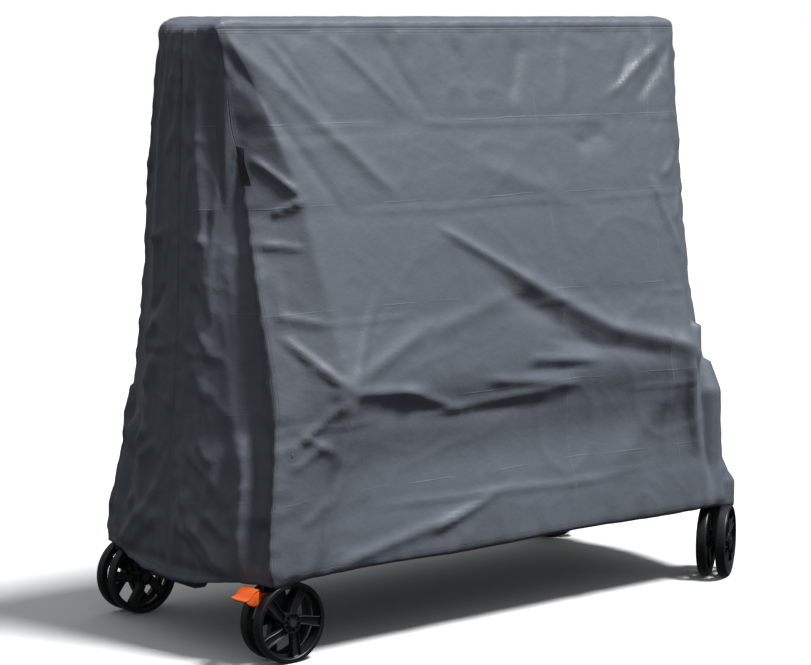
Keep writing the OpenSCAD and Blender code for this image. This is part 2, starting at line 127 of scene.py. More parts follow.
class Wire:
    """An output socket with arithmetic: an expression on wires adds its Math nodes."""

    def __init__(self, paint, socket):
        self.paint = paint
        self.socket = socket

    def math(self, operation, *others):
        values = [self, *others]
        node = self.paint.add("ShaderNodeMath", {"operation": operation}, dict(enumerate(values)))
        return Wire(self.paint, node.outputs[0])

    def __add__(self, other):
        return self.math("ADD", other)

    __radd__ = __add__

    def __mul__(self, other):
        return self.math("MULTIPLY", other)

    __rmul__ = __mul__

    def __sub__(self, other):
        return self.math("SUBTRACT", other)

    def __rsub__(self, other):
        return (self * -1.0) + other

    def __truediv__(self, other):
        return self.math("DIVIDE", other)

    def __pow__(self, other):
        return self.math("POWER", other)

    def __lt__(self, other):
        return self.math("LESS_THAN", other)

    def __gt__(self, other):
        return self.math("GREATER_THAN", other)

    def abs(self):
        return self.math("ABSOLUTE")

    def sin(self):
        return self.math("SINE")

    def clamp(self):
        return self.math("MULTIPLY", 1.0).limit()

    def limit(self):
        self.socket.node.use_clamp = True
        return self

    def near(self, centre, width):
        """1 at the centre, falling to 0 at that distance from it."""
        return (1.0 - (self - centre).abs() / width).clamp()


class Paint:
    """One material, its Principled shader and the nodes that feed it."""

    def __init__(self, name, **constants):
        self.material = bpy.data.materials.new(name)
        self.material.use_nodes = True
        self.tree = self.material.node_tree
        self.shader = self.tree.nodes["Principled BSDF"]
        for socket, value in constants.items():
            self.set(socket.replace("_", " "), value)

    def add(self, kind, settings=None, inputs=None):
        node = self.tree.nodes.new(kind)
        for key, value in (settings or {}).items():
            setattr(node, key, value)
        for key, value in (inputs or {}).items():
            self._feed(node.inputs[key], value)
        return node

    def _feed(self, socket, value):
        if isinstance(value, Wire):
            self.tree.links.new(value.socket, socket)
        elif isinstance(value, bpy.types.NodeSocket):
            self.tree.links.new(value, socket)
        else:
            socket.default_value = value

    def set(self, name, value):
        if isinstance(value, tuple) and len(value) == 3:
            value = (*value, 1.0)
        self._feed(self.shader.inputs[name], value)

    def coords(self, output="Object"):
        return self.add("ShaderNodeTexCoord").outputs[output]

    def uv(self):
        return self.add("ShaderNodeUVMap", {"uv_map": "cut"}).outputs[0]

    def axes(self, vector):
        split = self.add("ShaderNodeSeparateXYZ", None, {0: vector})
        return [Wire(self, socket) for socket in split.outputs]

    def noise(self, vector, scale, detail=3.0, rough=0.5):
        node = self.add("ShaderNodeTexNoise", None,
                        {"Vector": vector, "Scale": scale, "Detail": detail, "Roughness": rough})
        return Wire(self, node.outputs[0])

    def cells(self, vector, scale):
        node = self.add("ShaderNodeTexVoronoi", None, {"Vector": vector, "Scale": scale})
        return Wire(self, node.outputs["Distance"])

    def stretch(self, vector, scale):
        node = self.add("ShaderNodeMapping", None, {"Vector": vector, "Scale": scale})
        return node.outputs[0]

    def blend(self, factor, first, second):
        node = self.add("ShaderNodeMix", {"data_type": "RGBA"}, {"Factor": factor})
        for socket, value in ((node.inputs[6], first), (node.inputs[7], second)):
            self._feed(socket, (*value, 1.0) if isinstance(value, tuple) else value)
        return node.outputs[2]

    def bump(self, height, distance, strength=1.0, below=None):
        inputs = {"Height": height, "Distance": distance, "Strength": strength}
        if below is not None:
            inputs["Normal"] = below
        return self.add("ShaderNodeBump", None, inputs).outputs[0]


def shade(colour, factor):
    """The same colour, lighter or darker."""
    return tuple(min(1.0, channel * factor) for channel in colour)


# ---------------------------------------------------------------- finishes

def fabric_paint(settings):
    """Coated woven polyester: fine weave, crumple, fold lines, stitched seams, and a painted highlight along the
    pressed creases.
    """
    paint = Paint("coated_polyester", Roughness=0.5, Sheen_Weight=0.05, Sheen_Roughness=0.45)
    paint.shader.inputs["Specular IOR Level"].default_value = 0.45
    cut = paint.uv()
    across, down, _ = paint.axes(cut)
    place = paint.coords()
    base = tuple(settings.colour)

    pitch = 2 * math.pi / 0.0011
    weave = (across * pitch).sin() * (down * pitch).sin()
    crumple = paint.noise(place, 22.0, 4.0, 0.50)
    fine = paint.noise(place, 120.0, 3.0, 0.55)
    facets = paint.cells(place, 9.0)
    ridges = (1.0 - (paint.noise(place, 17.0, 3.0, 0.55) - 0.5).abs() * 9.0).clamp()
    ridges = ridges + (1.0 - (paint.noise(place, 38.0, 3.0, 0.55) - 0.5).abs() * 8.0).clamp() * 0.5

    stitch = None
    for line in (0.0045, 0.0115):
        dash = ((across + down) * (2 * math.pi / 0.0042)).sin() > -0.25
        for seam in SEAM_LINES:
            row = across.near(seam - line, 0.0008) + across.near(seam + line, 0.0008)
            stitch = row * dash if stitch is None else stitch + row * dash
        rim = down.near(line, 0.0008) * dash
        stitch = stitch + rim
    for line in (0.0130, CUT_WIDTH - 0.0130):
        stitch = stitch + across.near(line, 0.0008) * dash
    hem_row = down.near(HEM_LINE, 0.0009) * (((across) * (2 * math.pi / 0.0045)).sin() > -0.2)
    stitch = (stitch + hem_row).clamp()

    fold = down.near(0.0, 0.0015)
    for seam in SEAM_LINES:
        fold = fold + across.near(seam, 0.0015)
    # Mask of the pressed packing creases: it dents the bump and also lightens the colour as a painted highlight.
    press_and_highlight = None
    for line in PRESS_LINES_DOWN:
        wander = (paint.noise(paint.stretch(cut, (3.0, 0.2, 1.0)), 3.0) - 0.5) * 0.012
        mark = (down + wander).near(line, 0.0026)
        press_and_highlight = mark if press_and_highlight is None else press_and_highlight + mark
    for line in PRESS_LINES_ACROSS:
        wander = (paint.noise(paint.stretch(cut, (0.2, 3.0, 1.0)), 3.0) - 0.5) * 0.010
        press_and_highlight = press_and_highlight + (across + wander).near(line, 0.0030)
    press_and_highlight = press_and_highlight * ((paint.noise(cut, 7.0, 2.0) - 0.46) * 7.0).clamp()

    tone = paint.noise(place, 2.2, 3.0, 0.5)
    colour = paint.blend(tone, shade(base, 0.90), shade(base, 1.10))
    colour = paint.blend(fine * 0.5, colour, shade(base, 1.18))
    # Painted highlight: the pressed creases are lightened in colour where they would catch the light.
    colour = paint.blend((press_and_highlight * 0.5).clamp(), colour, shade(base, 1.45))
    colour = paint.blend(stitch * 0.7, colour, shade(base, 0.35))
    paint.set("Base Color", colour)
    paint.set("Roughness", crumple * 0.16 + 0.40)

    height = weave * 0.06 + fine * 0.25
    relief = paint.bump(height, 0.0007, 0.35)
    relief = paint.bump(crumple * 0.6 + facets * 0.5 + ridges * 0.10, 0.0045, 0.42, relief)
    relief = paint.bump(press_and_highlight * 0.25 - fold * 0.8 - stitch * 0.5, 0.0022, 0.9, relief)
    paint.set("Normal", relief)
    return paint.material


def tape_paint():
    """Plain woven tape, for the net's band."""
    paint = Paint("woven_tape", Roughness=0.75)
    x, _, z = paint.axes(paint.coords())
    weave = (x * 5200.0).sin() * (z * 5200.0).sin()
    paint.set("Base Color", paint.blend(weave * 0.5 + 0.5, (0.70, 0.70, 0.69), (0.84, 0.84, 0.82)))
    paint.set("Normal", paint.bump(weave, 0.0004, 0.5))
    return paint.material


def net_paint():
    """Knotted mesh: threads round open square holes."""
    paint = Paint("knotted_mesh", Roughness=0.8)
    x, _, z = paint.axes(paint.coords())
    pitch = 0.0125
    thread = ((x / pitch).math("FRACT") - 0.5).abs() > 0.43
    thread = (thread + (((z / pitch).math("FRACT") - 0.5).abs() > 0.43)).clamp()
    paint.set("Base Color", (0.020, 0.021, 0.024))
    paint.set("Alpha", thread)
    paint.set("Normal", paint.bump(paint.noise(paint.coords(), 900.0), 0.0004, 0.4))
    return paint.material


def label_paint():
    """Satin woven tag with fine woven ribs."""
    paint = Paint("satin_tag", Roughness=0.42, Sheen_Weight=0.2)
    place = paint.coords()
    _, _, z = paint.axes(place)
    ribs = (z * 6500.0).sin()
    paint.set("Base Color", paint.blend(paint.noise(place, 60.0), (0.010, 0.011, 0.016),
                                        (0.022, 0.024, 0.034)))
    paint.set("Normal", paint.bump(ribs, 0.0003, 0.4))
    return paint.material


def moulded_paint(name, colour, roughness=0.42, dust=0.12):
    """Moulded plastic: fine spark texture, faint flow marks and a little dust."""
    paint = Paint(name)
    place = paint.coords()
    flow = paint.noise(place, 14.0, 4.0, 0.55)
    dusty = paint.noise(place, 55.0, 5.0, 0.7)
    tone = paint.blend(flow, shade(colour, 0.8), shade(colour, 1.25))
    tone = paint.blend((dusty ** 3.0) * dust, tone, (0.16, 0.155, 0.15))
    paint.set("Base Color", tone)
    paint.set("Roughness", dusty * 0.20 + (roughness - 0.10))
    texture = paint.noise(place, 1600.0, 2.0, 0.6)
    paint.set("Normal", paint.bump(texture + flow * 0.5, 0.0002, 0.5))
    return paint.material


def coated_steel_paint(settings):
    """Powder-coated steel with a fine orange-peel skin."""
    paint = Paint("powder_coated_steel", Metallic=0.0)
    place = paint.coords()
    base = tuple(settings.steel_colour)
    peel = paint.noise(place, 700.0, 3.0, 0.5)
    patch = paint.noise(place, 9.0, 4.0, 0.55)
    paint.set("Base Color", paint.blend(patch, shade(base, 0.85), shade(base, 1.2)))
    paint.set("Roughness", patch * 0.15 + 0.36)
    paint.set("Normal", paint.bump(peel, 0.0003, 0.5))
    return paint.material


def zinc_paint():
    """Zinc-plated steel with faint rolling lines."""
    paint = Paint("zinc_plated_steel", Metallic=1.0)
    place = paint.coords()
    lines = paint.noise(paint.stretch(place, (30.0, 30.0, 900.0)), 1.0, 3.0, 0.6)
    spangle = paint.cells(place, 160.0)
    paint.set("Base Color", paint.blend(spangle, (0.50, 0.51, 0.53), (0.66, 0.67, 0.69)))
    paint.set("Roughness", lines * 0.22 + 0.24)
    paint.set("Normal", paint.bump(lines, 0.0002, 0.3))
    return paint.material


def board_paint(settings, side):
    """Textured playing top with white lines, and a plain darker underside."""
    low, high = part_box(f"{side}_board")
    paint = Paint(f"{side}_playing_top", Specular_IOR_Level=0.35)
    place = paint.coords()
    x, _, z = paint.axes(place)
    facing = paint.axes(paint.coords("Normal"))[1]
    inward = (facing * (1.0 if side == "front" else -1.0)) > 0.5
    width = settings.line_width
    lines = (x.abs() > (high[0] - width)) + (z > (high[2] - width))
    lines = ((lines + (x.abs() < 0.0015)).clamp()) * inward
    base = tuple(settings.board_colour)
    grain = paint.noise(place, 1400.0, 2.0, 0.6)
    patch = paint.noise(place, 6.0, 3.0)
    top = paint.blend(patch, shade(base, 0.92), shade(base, 1.08))
    under = paint.blend(patch, (0.030, 0.031, 0.033), (0.045, 0.046, 0.049))
    colour = paint.blend(inward, under, top)
    paint.set("Base Color", paint.blend(lines, colour, (0.82, 0.82, 0.80)))
    paint.set("Roughness", grain * 0.12 + 0.42)
    paint.set("Normal", paint.bump(grain, 0.0003, 0.6))
    return paint.material


# ---------------------------------------------------------------- modelling helpers

def deselect():
    """Object mode, with nothing selected."""
    if bpy.context.object and bpy.context.object.mode != "OBJECT":
        bpy.ops.object.mode_set(mode="OBJECT")
    bpy.ops.object.select_all(action="DESELECT")


def activate(obj):
    """Makes one object the selected and active one."""
    deselect()
    obj.select_set(True)
    bpy.context.view_layer.objects.active = obj


def added(name):
    """The object that an add operator has just made, under its own name."""
    obj = bpy.context.object
    obj.name = name
    obj.data.name = name
    return obj


def pick(obj, test):
    """In edit mode, selects exactly the faces that pass a test."""
    bpy.ops.mesh.select_mode(type="FACE")
    mesh = bmesh.from_edit_mesh(obj.data)
    for group in (mesh.verts, mesh.edges, mesh.faces):
        for item in group:
            item.select = False
    for item in mesh.faces:
        if test(item):
            item.select_set(True)
    mesh.select_flush_mode()
    bmesh.update_edit_mesh(obj.data)


def modifier(obj, kind, **settings):
    """Adds a modifier with these settings and applies it."""
    activate(obj)
    added_one = obj.modifiers.new(kind.lower(), kind)
    for key, value in settings.items():
        setattr(added_one, key, value)
    bpy.ops.object.modifier_apply(modifier=added_one.name)


def soften(obj, width, segments=2, angle=35.0):
    """Rounds the sharp edges."""
    modifier(obj, "BEVEL", width=width, segments=segments, limit_method="ANGLE",
             angle_limit=math.radians(angle), harden_normals=False)


def smooth(obj, angle=35.0):
    """Smooth shading across edges flatter than this."""
    activate(obj)
    bpy.ops.object.shade_smooth_by_angle(angle=math.radians(angle))


def outward(obj):
    """Merges doubles and points every face outwards."""
    activate(obj)
    bpy.ops.object.mode_set(mode="EDIT")
    bpy.ops.mesh.select_all(action="SELECT")
    bpy.ops.mesh.remove_doubles(threshold=1e-6)
    bpy.ops.mesh.normals_make_consistent(inside=False)
    bpy.ops.object.mode_set(mode="OBJECT")


def joined(name, parts):
    """Joins several objects into one."""
    deselect()
    for part in parts:
        part.select_set(True)
    bpy.context.view_layer.objects.active = parts[0]
    if len(parts) > 1:
        bpy.ops.object.join()
    return added(name)


def settle(obj, matrix=None):
    """Moves a finished piece to its place and puts that place in its mesh."""
    activate(obj)
    if matrix is not None:
        obj.matrix_world = matrix @ obj.matrix_world
    bpy.ops.object.transform_apply(location=True, rotation=True, scale=True)
    return obj


def twin(obj, name, matrix):
    """A copy with its own mesh, at another place."""
    activate(obj)
    bpy.ops.object.duplicate(linked=False)
    return settle(added(name), matrix)


def lathe(name, profile, steps=96):
    """A closed profile of radius and height, turned once round Z."""
    deselect()
    bpy.ops.mesh.primitive_circle_add(vertices=len(profile), fill_type="NOTHING")
    obj = added(name)
    for vertex, (radius, height) in zip(obj.data.vertices, profile):
        vertex.co = (radius, 0, height)
    modifier(obj, "SCREW", axis="Z", angle=2 * math.pi, steps=steps, render_steps=steps,
             use_merge_vertices=True, merge_threshold=1e-6)
    outward(obj)
    return obj


def ring(name, outer, inner, depth, sides=96):
    """A ring round Z, centred on the origin."""
    half = depth / 2
    return lathe(name, ((inner, -half), (outer, -half), (outer, half), (inner, half)), sides)


def plate(name, outline, thickness, at):
    """A plate whose outline lies in X and Z, thickened along Y from a start."""
    deselect()
    bpy.ops.mesh.primitive_circle_add(vertices=len(outline), fill_type="NGON")
    obj = added(name)
    for vertex, (x, z) in zip(obj.data.vertices, outline):
        vertex.co = (x, at, z)
    bpy.ops.object.mode_set(mode="EDIT")
    bpy.ops.mesh.select_all(action="SELECT")
    bpy.ops.mesh.extrude_region_move(TRANSFORM_OT_translate={"value": (0, thickness, 0)})
    bpy.ops.object.mode_set(mode="OBJECT")
    outward(obj)
    return obj


def disc(name, radius, depth, at=(0, 0, 0), sides=48):
    """A round plate round Z."""
    deselect()
    bpy.ops.mesh.primitive_cylinder_add(vertices=sides, radius=radius, depth=depth, location=at)
    return settle(added(name))


def bar(name, size, at=(0, 0, 0)):
    """A box of a size, centred on a point."""
    deselect()
    bpy.ops.mesh.primitive_cube_add(size=1.0, location=at)
    obj = added(name)
    obj.scale = size
    return settle(obj)


def finish_piece(obj, body, slot, material, *nodes):
    """Gives a piece its material and body, and hides the nodes it stands for; the slot is not used."""
    obj.data.materials.clear()
    obj.data.materials.append(material)
    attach(obj, body)
    if nodes:
        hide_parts(*nodes)
    return obj


# ---------------------------------------------------------------- the cover's shape

RIM_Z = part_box("cover_top")[1][2] - 0.025
FOOT_X, FOOT_Z = 0.583, 0.652

# Each corner edge of the cover, from the rim down: height, distance along X, along Y
LEFT_EDGES = {
    -1: ((1.535, 0.787, 0.124), (1.46, 0.768, 0.130), (1.38, 0.755, 0.134),
         (1.25, 0.735, 0.139), (1.05, 0.748, 0.196), (0.89, 0.766, 0.256),
         (0.64, 0.770, 0.328), (0.46, 0.800, 0.358), (0.29, 0.822, 0.368),
         (0.20, 0.808, 0.370)),
    1: ((1.544, 0.787, 0.122), (1.24, 0.770, 0.205), (0.89, 0.756, 0.262),
        (0.64, 0.750, 0.306), (0.46, 0.764, 0.350), (0.29, 0.806, 0.364),
        (0.20, 0.812, 0.366)),
}
RIGHT_EDGE = ((1.544, 0.780, 0.118), (1.24, 0.763, 0.162), (0.89, 0.742, 0.222),
              (0.64, 0.734, 0.284), (0.50, 0.748, 0.335), (0.40, 0.752, 0.345),
              (0.29, 0.776, 0.356), (0.20, 0.778, 0.358))
# The middle of each end: height, distance along X
LEFT_MIDDLE = ((1.544, 0.797), (1.20, 0.812), (0.85, 0.822), (0.50, 0.850), (0.20, 0.866))
RIGHT_MIDDLE = ((1.544, 0.797), (1.20, 0.805), (0.85, 0.810), (0.50, 0.825), (0.20, 0.838))
# How far an end panel falls inwards between its middle and its corner seam
HOLLOW = ((0.0, 0.0), (0.36, 0.002), (0.50, 0.006), (0.66, -0.012), (0.80, -0.034),
          (0.91, -0.026), (1.0, 0.0))
# The ridge that runs from a top corner over a foot to the hem: height, along X, along Y
RIDGE = ((1.544, 0.772, 0.126), (1.38, 0.700, 0.182), (1.12, 0.634, 0.262),
         (0.648, 0.583, 0.398), (0.44, 0.622, 0.384), (0.20, 0.672, 0.396))

END_COLUMNS = 44
SIDE_COLUMNS = 16
FRONT_COLUMNS = 120
ROWS = 150


def along(points, heights, column):
    """A smooth run through given points, at many heights."""
    table = np.array(sorted(points))
    fine = np.linspace(table[0, 0], table[-1, 0], 400)
    values = np.interp(fine, table[:, 0], table[:, column])
    kernel = np.hanning(61)
    kernel /= kernel.sum()
    padded = np.pad(values, 30, mode="reflect", reflect_type="odd")
    return np.interp(heights, fine, np.convolve(padded, kernel, mode="valid"))


def blur(grid, sigma, axis):
    """Gaussian smoothing of a grid of points along one direction, ends kept in line."""
    reach = int(3 * sigma) + 1
    steps = np.arange(-reach, reach + 1)
    kernel = np.exp(-0.5 * (steps / sigma) ** 2)
    kernel /= kernel.sum()
    pad = [(0, 0)] * grid.ndim
    pad[axis] = (reach, reach)
    wide = np.pad(grid, pad, mode="reflect", reflect_type="odd")
    return np.apply_along_axis(lambda row: np.convolve(row, kernel, mode="valid"), axis, wide)


def cover_sides(face):
    """Rest shape of one long half of the cover: rows from rim to hem, columns from the middle
    of the left end, round the long side, to the middle of the right end. Y is positive."""
    drop = np.linspace(0.0, 1.0, ROWS + 1)
    heights = RIM_Z - drop * (RIM_Z - 0.20)
    columns = []
    left = [along(LEFT_EDGES[face], heights, n) for n in (1, 2)]
    right = [along(RIGHT_EDGE, heights, n) for n in (1, 2)]
    left_mid = along(LEFT_MIDDLE, heights, 1)
    right_mid = along(RIGHT_MIDDLE, heights, 1)
    ridge = [along(RIDGE, heights, n) for n in (1, 2)]
    hollow = np.array(HOLLOW)
    sunk = np.clip((1.52 - heights) / 0.20, 0, 1) * np.clip((heights - 0.24) / 0.20, 0, 1)
    for f in np.linspace(0, 1, END_COLUMNS + 1)[:-1]:
        into = np.interp(f, hollow[:, 0], hollow[:, 1]) * sunk * (1.0 if face < 0 else 0.5)
        columns.append((-(left_mid + (left[0] - left_mid) * f ** 2.2 + into), left[1] * f))
    for f in np.linspace(0, 1, SIDE_COLUMNS + 1)[:-1]:
        columns.append((-(left[0] + (ridge[0] - left[0]) * f),
                        left[1] + (ridge[1] - left[1]) * f))
    for f in np.linspace(0, 1, FRONT_COLUMNS + 1)[:-1]:
        slack = 0.030 * np.exp(-((heights - 0.62) / 0.24) ** 2) * (4 * f * (1 - f)) ** 0.8
        slack = slack + 0.016 * np.exp(-((heights - 0.46) / 0.10) ** 2) * (
            4 * f * (1 - f)) ** 0.5
        columns.append((ridge[0] * (2 * f - 1), ridge[1] - slack))
    for f in np.linspace(1, 0, SIDE_COLUMNS + 1)[:-1]:
        columns.append(((right[0] + (ridge[0] - right[0]) * f),
                        right[1] + (ridge[1] - right[1]) * f))
    for f in np.linspace(1, 0, END_COLUMNS + 1):
        into = np.interp(f, hollow[:, 0], hollow[:, 1]) * sunk * 0.5
        columns.append((right_mid + (right[0] - right_mid) * f ** 2.2 + into, right[1] * f))
    x = np.array([c[0] for c in columns]).T
    y = np.array([c[1] for c in columns]).T
    z = np.repeat(heights[:, None], x.shape[1], axis=1)
    grid = np.stack([x, y, z], axis=2)
    soft = blur(grid[:, :, :2], 0.8, 1)
    # The middles of the ends stay on the middle plane
    soft[:, 0, 1] = 0.0
    soft[:, -1, 1] = 0.0
    grid[:, :, :2] = soft
    return grid, drop


COLUMNS = 2 * END_COLUMNS + 2 * SIDE_COLUMNS + FRONT_COLUMNS
CUT_WIDTH = 2.36
CUT_LENGTH = 1.38
LEFT_SEAM = END_COLUMNS / COLUMNS * CUT_WIDTH
SEAM_LINES = (LEFT_SEAM, CUT_WIDTH - LEFT_SEAM)
HEM_LINE = CUT_LENGTH - 0.020
PRESS_LINES_DOWN = (0.243, 0.450, 0.712, 0.96, 1.18)
PRESS_LINES_ACROSS = (1.34, 1.70)


def bell(distance, width):
    """A smooth bump of height 1."""
    return np.exp(-(distance / width) ** 2)


def stroke(x, z, start, end, width, depth, sharp=1.6):
    """Height of a fold that runs between two points and fades towards both."""
    step = np.array(end) - np.array(start)
    length = np.hypot(*step)
    run = ((x - start[0]) * step[0] + (z - start[1]) * step[1]) / length ** 2
    off = ((x - start[0]) * step[1] - (z - start[1]) * step[0]) / length
    fade = np.clip(run * 6, 0, 1) * np.clip((1 - run) * 4, 0, 1)
    return depth * fade * np.exp(-np.abs(off / width) ** sharp)


def crinkle(points, scale, seed, sharp=3.0):
    """Thin branching ridges, up to 1 high."""
    return (1.0 - np.minimum(np.abs(noise_grid(points, scale, seed)) * 2.4, 1.0)) ** sharp


def noise_grid(points, scale, seed):
    """Smooth noise at every point."""
    shift = Vector((seed * 3.17, seed * 1.31, seed * 0.73))
    flat = points.reshape(-1, 3)
    values = [noise.noise(Vector(p) * scale + shift) for p in flat]
    return np.array(values).reshape(points.shape[:-1])


# Folds on a long side, as start, end, width and height, in metres along X and Z
FRONT_FOLDS = (
    ((-0.23, 1.035), (0.08, 0.865), 0.014, 0.010),
    ((-0.02, 0.910), (0.40, 0.700), 0.026, 0.013),
    ((0.30, 0.745), (0.66, 0.650), 0.026, 0.011),
    ((-0.08, 0.890), (0.34, 0.655), 0.036, -0.009),
    ((0.08, 0.730), (0.56, 0.640), 0.026, -0.007),
    ((0.02, 0.680), (0.30, 0.655), 0.012, 0.006),
    ((0.00, 0.650), (0.24, 0.640), 0.012, -0.005),
    ((-0.14, 0.640), (0.22, 0.600), 0.013, 0.007),
    ((-0.60, 0.652), (-0.30, 0.628), 0.016, 0.011),
    ((-0.590, 0.655), (-0.735, 0.800), 0.010, 0.010),
    ((-0.590, 0.640), (-0.735, 0.520), 0.010, 0.009),
    ((-0.575, 0.660), (-0.440, 0.900), 0.012, 0.006),
    ((-0.42, 0.640), (-0.20, 0.570), 0.015, 0.008),
    ((-0.30, 0.574), (0.20, 0.600), 0.014, 0.008),
    ((-0.58, 0.610), (0.16, 0.545), 0.040, -0.008),
    ((-0.60, 0.660), (-0.27, 0.795), 0.024, 0.008),
    ((-0.30, 0.770), (0.08, 0.870), 0.028, 0.006),
    ((-0.79, 1.530), (-0.30, 1.080), 0.022, 0.007),
    ((-0.78, 1.500), (-0.50, 1.060), 0.018, -0.006),
    ((-0.66, 1.515), (-0.52, 1.330), 0.009, 0.007),
    ((-0.63, 1.515), (-0.50, 1.300), 0.010, -0.006),
    ((-0.46, 1.515), (-0.25, 1.310), 0.013, 0.006),
    ((-0.30, 1.515), (-0.18, 1.300), 0.018, -0.006),
    ((-0.05, 1.500), (-0.02, 1.330), 0.016, -0.006),
    ((0.18, 1.500), (0.10, 1.330), 0.022, -0.006),
    ((0.34, 1.480), (0.30, 1.330), 0.018, 0.005),
    ((0.45, 1.335), (0.72, 1.500), 0.010, 0.006),
    ((0.50, 1.370), (0.60, 1.500), 0.009, -0.005),
    ((0.54, 1.340), (0.62, 1.470), 0.008, 0.004),
    ((0.56, 1.330), (0.76, 1.500), 0.014, -0.007),
    ((0.66, 1.520), (0.70, 1.350), 0.014, 0.006),
    ((0.30, 1.220), (0.44, 1.250), 0.030, -0.008),
    ((-0.10, 1.200), (0.30, 1.060), 0.040, 0.005),
    ((0.56, 1.130), (0.60, 0.960), 0.010, 0.008),
    ((0.60, 1.120), (0.70, 1.200), 0.009, 0.007),
    ((0.62, 1.000), (0.71, 1.090), 0.010, 0.007),
    ((0.60, 1.000), (0.66, 0.760), 0.014, 0.007),
    ((-0.70, 1.080), (-0.62, 1.120), 0.008, 0.009),
    ((-0.72, 1.220), (-0.63, 1.120), 0.009, 0.009),
    ((-0.74, 1.010), (-0.64, 1.000), 0.008, 0.007),
    ((-0.74, 0.840), (-0.61, 0.820), 0.010, 0.006),
    ((-0.586, 0.649), (-0.635, 0.430), 0.016, 0.010),
    ((-0.615, 0.460), (-0.690, 0.215), 0.014, 0.010),
    ((0.586, 0.649), (0.630, 0.360), 0.018, 0.010),
    ((0.60, 0.620), (0.30, 0.330), 0.060, 0.010),
    ((0.68, 0.560), (0.70, 0.250), 0.020, -0.014),
    ((-0.66, 0.225), (-0.16, 0.320), 0.018, 0.008),
    ((-0.34, 0.270), (-0.08, 0.350), 0.012, 0.008),
    ((-0.54, 0.360), (0.40, 0.330), 0.010, 0.004),
    ((-0.72, 0.560), (-0.62, 0.500), 0.008, 0.006),
    ((-0.74, 0.470), (-0.64, 0.540), 0.009, 0.006),
    ((-0.72, 0.330), (-0.64, 0.400), 0.009, 0.006),
)
# Folds on the left end, as start, end, width and height: share of the way from the middle
# to the corner seam, then height
END_FOLDS = (
    ((0.46, 1.52), (0.42, 0.30), 0.016, 0.009),
    ((0.30, 1.02), (0.52, 1.01), 0.014, 0.010),
    ((0.28, 0.82), (0.50, 0.74), 0.016, 0.012),
    ((0.22, 0.90), (0.50, 0.80), 0.014, -0.008),
    ((0.12, 0.74), (0.62, 0.735), 0.010, 0.008),
    ((0.30, 0.72), (0.44, 0.62), 0.020, 0.012),
    ((0.34, 0.53), (0.50, 0.47), 0.014, 0.012),
    ((0.22, 0.50), (0.44, 0.44), 0.012, 0.010),
    ((0.70, 0.56), (0.78, 0.22), 0.020, 0.024),
    ((0.58, 0.60), (0.64, 0.24), 0.022, -0.010),
    ((0.88, 0.60), (0.90, 0.24), 0.020, -0.014),
    ((0.86, 0.36), (0.88, 0.20), 0.026, -0.020),
    ((0.18, 0.40), (0.36, 0.27), 0.016, 0.012),
    ((0.10, 0.33), (0.62, 0.185), 0.018, 0.016),
    ((0.28, 0.34), (0.70, 0.190), 0.014, 0.014),
    ((0.20, 0.29), (0.60, 0.180), 0.020, -0.012),
    ((0.44, 0.36), (0.66, 0.29), 0.012, 0.010),
    ((0.14, 1.50), (0.30, 1.34), 0.018, 0.008),
    ((0.34, 1.50), (0.22, 1.30), 0.014, 0.007),
    ((0.10, 1.30), (0.34, 1.22), 0.016, 0.007),
    ((0.78, 1.48), (0.88, 1.20), 0.020, 0.006),
)


